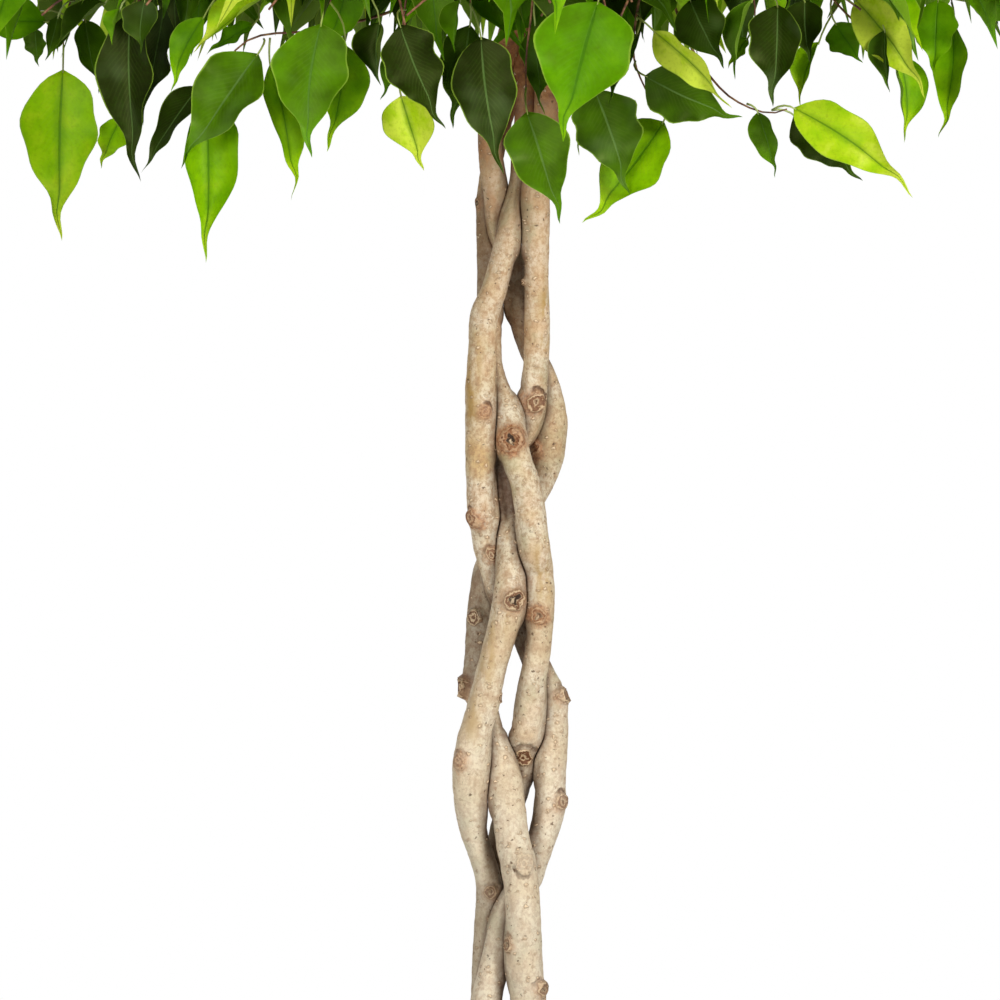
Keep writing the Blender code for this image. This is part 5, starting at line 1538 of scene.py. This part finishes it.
def grow_along(spray, path, count, turn, room, chance, front, shown):
    """Leaves to either side of a shoot, the youngest at its end, where there is room for them."""
    guide = Spray(None, None, path)
    for place in range(count):
        share = 0.1 + 0.88 * place / (count - 1)
        root = guide.point(share)
        if front and row_of(root) > FRONT_LEAF_ROW:
            continue
        ahead, across = guide.heading(share)
        side = across if (place + turn) % 2 else -across
        last = place == count - 1
        droop = LOW_DROOP if front or root.z < LOW_DROOP_Z else HIGH_DROOP
        for _ in range(MORE_TRIES):
            leaf = hung_leaf(root, ahead, side, last, droop, MORE_HABIT, chance)
            fits = max(row_of(leaf.tip), row_of(leaf.base)) < FILL_ROW and leaf_in_box(leaf)
            if fits and not hides_shown(leaf, shown) and has_room(leaf, spray, room):
                tone = chance.betavariate(*TONE_SPREAD)
                leaf.look = (max(tone, chance.uniform(0.6, 0.95)) if last else tone, None, 0)
                take_leaf(leaf, spray, room)
                break


def stalk_path(leaf):
    """From inside the twig to just inside the blade's foot."""
    reach = (leaf.base - leaf.root).length
    bend = leaf.base - leaf.axis * reach * 0.45
    end = leaf.base + leaf.axis * 0.0015
    return bezier(leaf.root, bend, end, STALK_RINGS)


def set_blade(leaf, rings, across, form, phase, sway):
    """The blade of a leaf where it grows, bent back inside the box of the solids where it would pass it."""
    points, faces, places = blade(rings, across, FORMS[form], leaf.width / leaf.length, phase, sway)
    turn = Matrix((leaf.side, leaf.axis, leaf.face)).transposed() * leaf.length
    set_out = [leaf.base + turn @ p for p in points]
    low, high = (Vector(corner) for corner in cad_box)
    for axis in range(3):
        over = max(p[axis] for p in set_out) - (high[axis] - BOX_SPARE)
        short = (low[axis] + BOX_SPARE) - min(p[axis] for p in set_out)
        push = max(0.0, short) - max(0.0, over)
        for moved, p in zip(set_out, points):
            moved[axis] += push * clamped(p.y / BLADE_HINGE)
    return set_out, faces, places


def leafy_spray(name, spray, shoots, surfaces, forms, tree):
    """A twig with shoots, stalks and leaves. Front leaves are shaped one by one; a tree sets the others."""
    shape = Shape()
    shape.add(*tapered(spray.twig, FINE_TWIG, TWIG_RINGS, TWIG_ROUND), TWIG_SLOT)
    for shoot in shoots:
        shape.add(*tapered(shoot, SHOOT_THICK, SHOOT_RINGS, TWIG_ROUND), TWIG_SLOT)
    for number, leaf in enumerate(spray.leaves):
        radii = radii_between(STALK_THICK, STALK_RINGS)
        shape.add(*round_bar(stalk_path(leaf), radii, TWIG_ROUND), STALK_SLOT)
        tone, form, sway = leaf.look
        kind = int(tone * KIND_SPREAD) % (len(CROWN_FORMS) * len(CROWN_SWAYS))
        if not form and leaf_in_box(leaf):
            turn = Matrix((leaf.side, leaf.axis, leaf.face)).transposed().to_euler()
            size = (leaf.width / LEAF_WIDE, leaf.length, leaf.length)
            shape.add([leaf.base], tone=tone, is_leaf=1.0, kind=kind, turn=tuple(turn), size=size)
        else:
            rings, across = (FINE_BLADE, FINE_ACROSS) if form else (CROWN_BLADE, CROWN_ACROSS)
            form = form or CROWN_FORMS[kind % len(CROWN_FORMS)]
            points, faces, places = set_blade(leaf, rings, across, form, LEAF_PHASE * number, sway)
            shape.add(points, faces, LEAF_SLOT, places, tone=tone)
    mesh = shape.mesh(name, surfaces, ("tone", "is_leaf", "kind", "turn", "size"))
    obj = new_object(name, mesh)
    grown = obj.modifiers.new("crown_leaves", "NODES")
    grown.node_group = tree
    set_inputs(grown, {"Leaf forms": forms, "Leaf scale": 1.0, "Leaf blade": surfaces[LEAF_SLOT]})
    apply_modifiers(obj)
    bpy.data.meshes.remove(mesh)
    obj.data.name = name
    keep_inside(obj.data)
    return obj


def keep_inside(mesh):
    """Holds the last tips inside the box of the solids."""
    points = read(mesh.vertices, "co", np.float32, 3)
    low, high = np.array(cad_box)
    inside = np.clip(points.reshape(-1, 3), low + TIP_SPARE, high - TIP_SPARE)
    mesh.vertices.foreach_set("co", inside.astype(np.float32).ravel())
    mesh.update()


def set_inputs(modifier, values):
    """Sets the named inputs of a modifier's tree, which it knows by their identifiers."""
    for item in modifier.node_group.interface.items_tree:
        if item.item_type == "SOCKET" and item.in_out == "INPUT" and item.name in values:
            modifier[item.identifier] = values[item.name]


def new_tree(name, inputs):
    """An empty tree with a geometry input and output and these inputs, as (name, socket kind)."""
    tree = bpy.data.node_groups.new(name, "GeometryNodeTree")
    tree.interface.new_socket("Geometry", in_out="INPUT", socket_type="NodeSocketGeometry")
    for label, kind in inputs:
        tree.interface.new_socket(label, in_out="INPUT", socket_type=kind)
    tree.interface.new_socket("Geometry", in_out="OUTPUT", socket_type="NodeSocketGeometry")
    return tree, tree.nodes.new("NodeGroupInput").outputs


def set_forms(tree, forms, points, turn, size, rest, paint, pick=None):
    """Ends a tree: a form from a shelf on each point, joined to the rest and painted."""
    shelf = add(tree, "GeometryNodeCollectionInfo", {
        "Collection": forms, "Separate Children": True, "Reset Children": True,
    })
    placed = add(tree, "GeometryNodeInstanceOnPoints", {
        "Points": points, "Instance": shelf, "Pick Instance": True,
        "Rotation": add(tree, "FunctionNodeEulerToRotation", [turn]), "Scale": size, **(pick or {}),
    })
    whole = add(tree, "GeometryNodeJoinGeometry", {"Geometry": rest})
    tree.links.new(placed.outputs[0], whole.inputs[0])
    solid = add(tree, "GeometryNodeRealizeInstances", {"Geometry": whole})
    add(tree, "NodeGroupOutput", [add(tree, "GeometryNodeSetMaterial", {"Geometry": solid, **paint})])


def crown_leaf_tree():
    """Sets a leaf on each loose point that is marked as one, by the point's own turn, size and kind."""
    tree, given = new_tree("crown_leaves", (
        ("Leaf forms", "NodeSocketCollection"), ("Leaf scale", "NodeSocketFloat"),
        ("Leaf blade", "NodeSocketMaterial"),
    ))
    marked, size, turn, kind = (
        add(tree, "GeometryNodeInputNamedAttribute", {"Name": name}, data_type=held).outputs[0]
        for name, held in (
            ("is_leaf", "FLOAT"), ("size", "FLOAT_VECTOR"), ("turn", "FLOAT_VECTOR"), ("kind", "INT"),
        )
    )
    chosen = add(tree, ABOVE, [marked, 0.5], data_type="FLOAT", operation="GREATER_THAN")
    parted = add(tree, "GeometryNodeSeparateGeometry", {"Geometry": given["Geometry"], "Selection": chosen})
    scaled = add(tree, VECTOR, {0: size, "Scale": given["Leaf scale"]}, operation="SCALE")
    set_forms(
        tree, given["Leaf forms"], parted.outputs["Selection"], turn, scaled, parted.outputs["Inverted"],
        {"Selection": chosen, "Material": given["Leaf blade"]}, {"Instance Index": kind},
    )
    return tree


def crumb_tree():
    """Strews crumbs over the top of the soil, in random sizes and turns."""
    tree, given = new_tree("soil_crumbs", (
        ("Crumb forms", "NodeSocketCollection"), ("Crumbs per square metre", "NodeSocketFloat"),
        ("Smallest crumb", "NodeSocketFloat"), ("Largest crumb", "NodeSocketFloat"),
        ("Seed", "NodeSocketInt"), ("Compost", "NodeSocketMaterial"),
    ))
    up = add(tree, SPLIT, [add(tree, "GeometryNodeInputNormal")]).outputs["Z"]
    level = add(tree, ABOVE, [up, 0.5], data_type="FLOAT", operation="GREATER_THAN")
    strewn = add(tree, "GeometryNodeDistributePointsOnFaces", {
        "Mesh": given["Geometry"], "Selection": level, "Density": given["Crumbs per square metre"],
        "Seed": given["Seed"],
    }, distribute_method="RANDOM")
    size = add(tree, RANDOM, {
        "Min": given["Smallest crumb"], "Max": given["Largest crumb"], "Seed": given["Seed"],
    }, data_type="FLOAT")
    full = (math.tau, math.tau, math.tau)
    turn = add(tree, RANDOM, {1: full, "Seed": given["Seed"]}, data_type="FLOAT_VECTOR")
    set_forms(
        tree, given["Crumb forms"], strewn.outputs["Points"], turn, size, given["Geometry"],
        {"Material": given["Compost"]},
    )
    return tree


def shelf_of(name, meshes):
    """A collection that holds one object for each mesh, for a tree to pick from."""
    made = bpy.data.collections.new(name)
    bpy.context.scene.collection.children.link(made)
    for number, mesh in enumerate(meshes):
        made.objects.link(bpy.data.objects.new(f"{name}_{number:02d}", mesh))
    return made


def clear_shelf(shelf):
    for obj in list(shelf.objects):
        bpy.data.objects.remove(obj)
    bpy.data.collections.remove(shelf)


def crown_leaf_forms(leaf):
    """The blades that the tree picks from: each form swayed to either side."""
    meshes = []
    for sway in CROWN_SWAYS:
        for number, form in enumerate(CROWN_FORMS):
            shape = Shape()
            phase = 2.1 * number + 40 * sway
            points, faces, places = blade(CROWN_BLADE, CROWN_ACROSS, FORMS[form], LEAF_WIDE, phase, sway)
            shape.add(points, faces, 0, places)
            meshes.append(shape.mesh(f"crown_leaf_{len(meshes):02d}", (leaf,), ()))
    return shelf_of("crown_leaf_forms", meshes)


def crumb_forms(compost):
    meshes = []
    for number in range(CRUMB_FORMS):
        work = bmesh.new()
        bmesh.ops.create_icosphere(work, subdivisions=1, radius=0.5)
        for vertex in work.verts:
            lump = noise.noise(vertex.co * 1.9 + Vector((7.0 * number, 0, 0)))
            vertex.co *= 1 + 0.6 * lump
            vertex.co.z *= 0.75
        mesh = mesh_of("crumb", work)
        mesh.materials.append(compost)
        meshes.append(mesh)
    return shelf_of("crumb_forms", meshes)


def fine_path(sample, rows):
    """The centre line and radii of a stem without the slight kinks between its samples."""
    centre, radii = stem_path(sample, rows)
    table = np.array([(*point, radius) for point, radius in zip(centre, radii)])
    for _ in range(PATH_EASES):
        table[1:-1] = 0.25 * table[:-2] + 0.5 * table[1:-1] + 0.25 * table[2:]
    return [Vector(line[:3]) for line in table], table[:, 3]


def scar_marks(stems, name):
    """The scars of a stem: middle on the bark, across it and up it, radius, height and look."""
    marks = []
    for stem, row, radius, height, turn, tilt, *look in SCARS:
        if stem == name:
            centre, radii = stem_path(stems[stem], np.array([float(row)]))
            aim = math.radians(turn)
            out = Vector((math.sin(aim), -math.cos(aim), 0.1)).normalized()
            level = Vector((0, 0, 1)).cross(out)
            tilted = Matrix.Rotation(math.radians(tilt), 3, out)
            across = tilted @ level.normalized()
            up = tilted @ out.cross(level).normalized()
            marks.append((centre[0] + out * radii[0], -across, up, radius * PX, height * PX, look))
    return marks


def scar_at(point, marks):
    """How far the nearest scar lifts the bark here, the place in that scar, and what shows of its look."""
    if not marks:
        return 0.0, SCAR_NONE, (0.0, 0.0, 0.0)
    mark = min(marks, key=lambda m: (point - m[0]).length / m[3])
    middle, across, up, radius, height, (stain, hole, lips, brow) = mark
    away = point - middle
    seen = clamped(2 * (SCAR_REACH - away.length / radius))
    x = away.dot(across) / radius
    y = away.dot(up) / radius
    apart = math.hypot(x, 0.85 * y)
    around = math.atan2(y, x) + 9e3 * radius
    # A low bulge, an uneven collar of cork on it, a dimple in its middle and a crease over it.
    bulge = math.exp(-((apart / 1.25) ** 2))
    wobble = 1 + 0.16 * math.sin(2 * around) + 0.10 * math.sin(3 * around + 1.0)
    collar = math.exp(-(((apart * wobble - 0.74) / 0.24) ** 2)) * (1 + 0.5 * math.sin(around))
    dimple = math.exp(-((math.hypot(x + 0.15, y + 0.05) / 0.42) ** 4))
    crease = math.exp(-(((apart - 1.3) / 0.2) ** 2)) * clamped(y)
    lift = height * (0.9 * bulge + (0.3 + 0.7 * lips) * collar - 1.3 * hole * dimple - 0.5 * brow * crease)
    return lift * seen, (x, y, stain * seen), (hole * seen, lips * seen, brow * seen)


def neighbours(stems, name, rows):
    """For each other stem, a tree of its middles, and its radii, to tell how near its bark is."""
    found = []
    for other, sample in stems.items():
        if other != name:
            centre, radii = fine_path(sample, rows)
            middles = KDTree(len(centre))
            for number, middle in enumerate(centre):
                middles.insert(middle, number)
            middles.balance()
            found.append((middles, radii))
    return found


def bark_gap(point, out, others):
    """The gap to the nearest other stem's bark before it swells, and the painted shade inside the braid."""
    gaps = []
    inner = [0.0]
    for middles, radii in others:
        middle, number, apart = middles.find(point)
        gap = apart - radii[number]
        facing = max(0.0, out.dot(middle - point) / apart)
        gaps.append(gap)
        inner.append(max(0.0, 1 - gap / INNER_REACH) * facing**0.6)
    return min(gaps), max(inner)


def within(row, first, last):
    """1 between two rows of the view, and fading to 0 round them."""
    return smooth_share(0.5 + min(row - first, last - row) / ROW_EASE)


def bark_shade_and_gold(name, point, out):
    """How much painted shade this stem has here behind the others, and how golden its stain is."""
    row = row_of(point)
    turn = math.degrees(math.atan2(out.x, -out.y))
    dark = [strength * within(row, first, last) for stem, first, last, strength in SHADED_STRETCHES if stem == name]
    gold = [
        within(row, first, last) * math.exp(-(((turn - aim) / 34) ** 2))
        for stem, first, last, aim in GOLD_BARK if stem == name
    ]
    return max([0.0, *dark]), max([0.0, *gold])


def stem_piece(stems, name, sprays, bark):
    """A stem with smooth, uneven bark, healed scars and the limbs that grow out of it."""
    sample = stems[name]
    crown = np.arange(sample[0][0], BRAID_ROW, CROWN_BARK_STEP)
    rows = np.concatenate([crown, np.arange(BRAID_ROW, ROOT_ROW + 1, BARK_STEP)])
    centre, radii = fine_path(sample, rows)
    others = neighbours(stems, name, rows)
    foot = centre[-1].copy()
    foot.z = HOLE_FOOT_Z
    centre.append(foot)
    radii = [*radii, radii[-1]]
    marks = scar_marks(stems, name)
    places = []
    looks = []
    painted_shade = []
    golden = []
    shift = Vector((3.1 * ord(name), 0, 0))

    def swell(point, out, radius):
        lift, place, look = scar_at(point, marks)
        places.append(place)
        looks.append(look)
        gap, inner = bark_gap(point, out, others)
        dark, gold = bark_shade_and_gold(name, point, out)
        # Painted shade where stems touch, inside the braid and behind the others.
        painted_shade.append(clamped(max(1.0 - (gap - PRESS_GAP) / PRESS_REACH, inner, dark)))
        golden.append(gold)
        close = (SWELL_REACH - gap) / (SWELL_REACH - SWELL_FULL)
        met = smooth_share(close) if point.z > SWELL_Z else 0.0
        uneven = radius * sum(
            share * noise.noise(Vector((point.x * across, point.y * across, point.z * along)) + shift)
            for across, along, share in BARK_UNEVEN
        )
        return (1 - met) * (lift + uneven) + met * 0.5 * (gap - SWELL_LEFT)

    shape = Shape()
    points, faces = round_bar(centre, radii, BARK_SIDES, swell)
    shape.add(points, faces, painted_shade=painted_shade, gold=golden, scar_place=places, scar_look=looks)
    for spray in sprays:
        if spray.stem == name:
            shape.add(*tapered(spray.limb, LIMB_THICK, LIMB_RINGS, LIMB_ROUND), scar_place=SCAR_NONE)
    wanted = ("painted_shade", "gold", "scar_place", "scar_look")
    return new_object("braided_stem_" + name, shape.mesh("braided_stem_" + name, (bark,), wanted))


def turned(name, profile):
    """A closed solid of revolution from (radius, height) points that start and end on the axis."""
    work = bmesh.new()
    line = [work.verts.new((radius, 0, height)) for radius, height in profile]
    edges = [work.edges.new(pair) for pair in zip(line, line[1:])]
    bmesh.ops.spin(
        work, geom=[*line, *edges], axis=(0, 0, 1), cent=(0, 0, 0), angle=math.tau, steps=ROUND_STEPS,
        use_merge=True,
    )
    bmesh.ops.remove_doubles(work, verts=work.verts, dist=1e-6)
    bmesh.ops.recalc_face_normals(work, faces=work.faces)
    # Merging leaves the faces in an order that changes from run to run, so they are put in a fixed one.
    work.verts.index_update()
    faces = []
    for face in work.faces:
        corners = [vertex.index for vertex in face.verts]
        first = corners.index(min(corners))
        faces.append(corners[first:] + corners[:first])
    mesh = bpy.data.meshes.new(name)
    mesh.from_pydata([vertex.co for vertex in work.verts], [], sorted(faces))
    work.free()
    for face in mesh.polygons:
        face.use_smooth = True
    return new_object(name, mesh)


def pot_piece(plastic):
    """The pot: the solids' profile with rounded edges, and six drain holes in its flat foot."""
    # From the middle of the floor inside up to the rim, over it, and down to the middle of the foot.
    pot = turned("nursery_pot", (
        (0, POT_FLOOR), (inner_radius(POT_FLOOR), POT_FLOOR), (inner_radius(POT_COLLAR_Z), POT_COLLAR_Z),
        (POT_COLLAR_R - POT_WALL, POT_COLLAR_Z + 0.003), (POT_RIM_R - 0.0065, POT_HEIGHT),
        (POT_RIM_R - 0.0012, POT_HEIGHT), (POT_RIM_R, POT_HEIGHT - 0.0015), (POT_RIM_R, POT_HEIGHT - 0.0055),
        (POT_RIM_R - 0.0022, POT_HEIGHT - 0.0075), (POT_COLLAR_R, POT_COLLAR_Z + 0.0015),
        (POT_COLLAR_R - 0.001, POT_COLLAR_Z), (POT_NECK_R, POT_COLLAR_Z), (POT_FOOT_R + 0.0012, 0.002),
        (POT_FOOT_R - 0.0015, 0), (0, 0),
    ))
    drains = []
    for number in range(DRAIN_COUNT):
        angle = math.tau * number / DRAIN_COUNT
        work = bmesh.new()
        place = Matrix.Translation((DRAIN_CIRCLE * math.cos(angle), DRAIN_CIRCLE * math.sin(angle), 0))
        bmesh.ops.create_cone(
            work, cap_ends=True, segments=DRAIN_SIDES, radius1=DRAIN_RADIUS, radius2=DRAIN_RADIUS,
            depth=0.02, matrix=place,
        )
        drains.append(mesh_of("drain", work))
    holes = shelf_of("drains", drains)
    give(pot.modifiers.new("drain_holes", "BOOLEAN"), {
        "operation": "DIFFERENCE", "operand_type": "COLLECTION", "collection": holes, "solver": "EXACT",
    })
    give(pot.modifiers.new("rounded_edges", "BEVEL"), {
        "width": EDGE_ROUND, "segments": 2, "limit_method": "ANGLE", "angle_limit": EDGE_ANGLE,
    })
    apply_modifiers(pot)
    clear_shelf(holes)
    pot.data.materials.clear()
    pot.data.materials.append(plastic)
    for face in pot.data.polygons:
        face.use_smooth = True
        face.material_index = 0
    return pot


def soil_piece(compost):
    """Crumbly soil that closes round the stems, with crumbs strewn over its top."""
    side = inner_radius(SOIL_Z) - SOIL_SIDE_GAP
    top = [
        (side * i / SOIL_RINGS, SOIL_Z + SOIL_DOME * math.cos(math.pi / 2 * i / SOIL_RINGS) ** 2)
        for i in range(SOIL_RINGS + 1)
    ]
    low = POT_FLOOR + GAP
    soil = turned("potting_soil", [*top, (inner_radius(low) - SOIL_SIDE_GAP, low), (0, low)])
    for vertex in soil.data.vertices:
        place = vertex.co.copy()
        reach = math.hypot(place.x, place.y) / side
        if place.z > 0.1 and reach < 0.99:
            lump = noise.noise(place * 90) + 0.6 * noise.noise(place * 230)
            vertex.co.z += SOIL_LUMP * lump * min(1.0, 14 * (1 - reach))
    forms = crumb_forms(compost)
    strewn = soil.modifiers.new("soil_crumbs", "NODES")
    strewn.node_group = crumb_tree()
    set_inputs(strewn, {
        "Crumb forms": forms, "Crumbs per square metre": CRUMB_COUNT, "Smallest crumb": CRUMB_SIZE[0],
        "Largest crumb": CRUMB_SIZE[1], "Seed": SEED, "Compost": compost,
    })
    soil.data.materials.append(compost)
    apply_modifiers(soil)
    clear_shelf(forms)
    return soil


def area_light(name, place, aim, size, power):
    """A soft panel of plain white light, out of the camera's sight."""
    lamp = give(bpy.data.lights.new(name, "AREA"), {
        "shape": "RECTANGLE", "size": size[0], "size_y": size[1], "energy": power,
    })
    turn = (Vector(aim) - Vector(place)).to_track_quat("-Z", "Y").to_euler()
    give(new_object(name, lamp), {"location": place, "rotation_euler": turn, "visible_camera": False})


def studio():
    """A white room: an even glow all round, a key light from the front right, a fill and a back light."""
    world = bpy.data.worlds.new("white_studio")
    world.use_nodes = True
    tree = world.node_tree
    tree.nodes.clear()
    seen = add(tree, "ShaderNodeBackground", {"Color": "#FFFFFF", "Strength": 1.0})
    shone = add(tree, "ShaderNodeBackground", {"Color": "#FFFFFF", "Strength": 0.2})
    path = add(tree, "ShaderNodeLightPath").outputs["Is Camera Ray"]
    glow = add(tree, "ShaderNodeMixShader", [path, shone, seen])
    add(tree, "ShaderNodeOutputWorld", {"Surface": glow})
    bpy.context.scene.world = world
    for light in LIGHTS:
        area_light(*light)
    work = bmesh.new()
    bmesh.ops.create_circle(work, cap_ends=True, segments=ROUND_STEPS, radius=FLOOR_R)
    mesh = mesh_of("floor", work)
    floor = new_object("floor", mesh)
    made, tree, _ = new_material("painted_floor")
    add(tree, OUTPUT, {"Surface": add(tree, SURFACE, {"Base Color": "#F4F4F2", "Roughness": 0.8})})
    mesh.materials.append(made)
    floor.location.z = FLOOR_Z
    lens = give(bpy.data.cameras.new("camera"), {
        "sensor_width": SENSOR, "lens": SENSOR * EYE_DIST / (VIEW_PIXELS * PX),
    })
    bpy.context.scene.camera = give(new_object("camera", lens), {
        "location": (MID_X, -EYE_DIST, MID_Z), "rotation_euler": (math.pi / 2, 0, 0),
    })
    give(bpy.context.scene.view_settings, {"view_transform": "Standard", "look": "None"})


def attach(obj, slot, *nodes):
    """A finished piece stands still and stands for its CAD nodes; its slot is not used."""
    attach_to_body(obj, "root")
    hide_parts(*nodes)


def main():
    bark = bark_material()
    leaf = leaf_material()
    surfaces = (twig_material(), stalk_material(), leaf)
    stems, sprays, room = lay_out()
    chance = random.Random(SEED + 1)
    for spray in sprays:
        for grown in spray.leaves:
            if not grown.look:
                grown.look = (chance.betavariate(*TONE_SPREAD), None, 0)
    shown = shown_leaves(sprays)
    shoots = [more_leaves(spray, number, room, chance, shown) for number, spray in enumerate(sprays)]
    for name in sorted(stems):
        attach(stem_piece(stems, name, sprays, bark), "bark", "stem_" + name)
    attach(pot_piece(pot_material()), "pot", "pot")
    attach(soil_piece(soil_material()), "soil", "soil")
    forms = crown_leaf_forms(leaf)
    tree = crown_leaf_tree()
    for number, spray in enumerate(sprays):
        obj = leafy_spray(f"leafy_spray_{number + 1:02d}", spray, shoots[number], surfaces, forms, tree)
        attach(obj, "leaf", f"spray_{number + 1:02d}")
    clear_shelf(forms)
    studio()
    print(sum(len(spray.leaves) for spray in sprays), "leaves")


main()
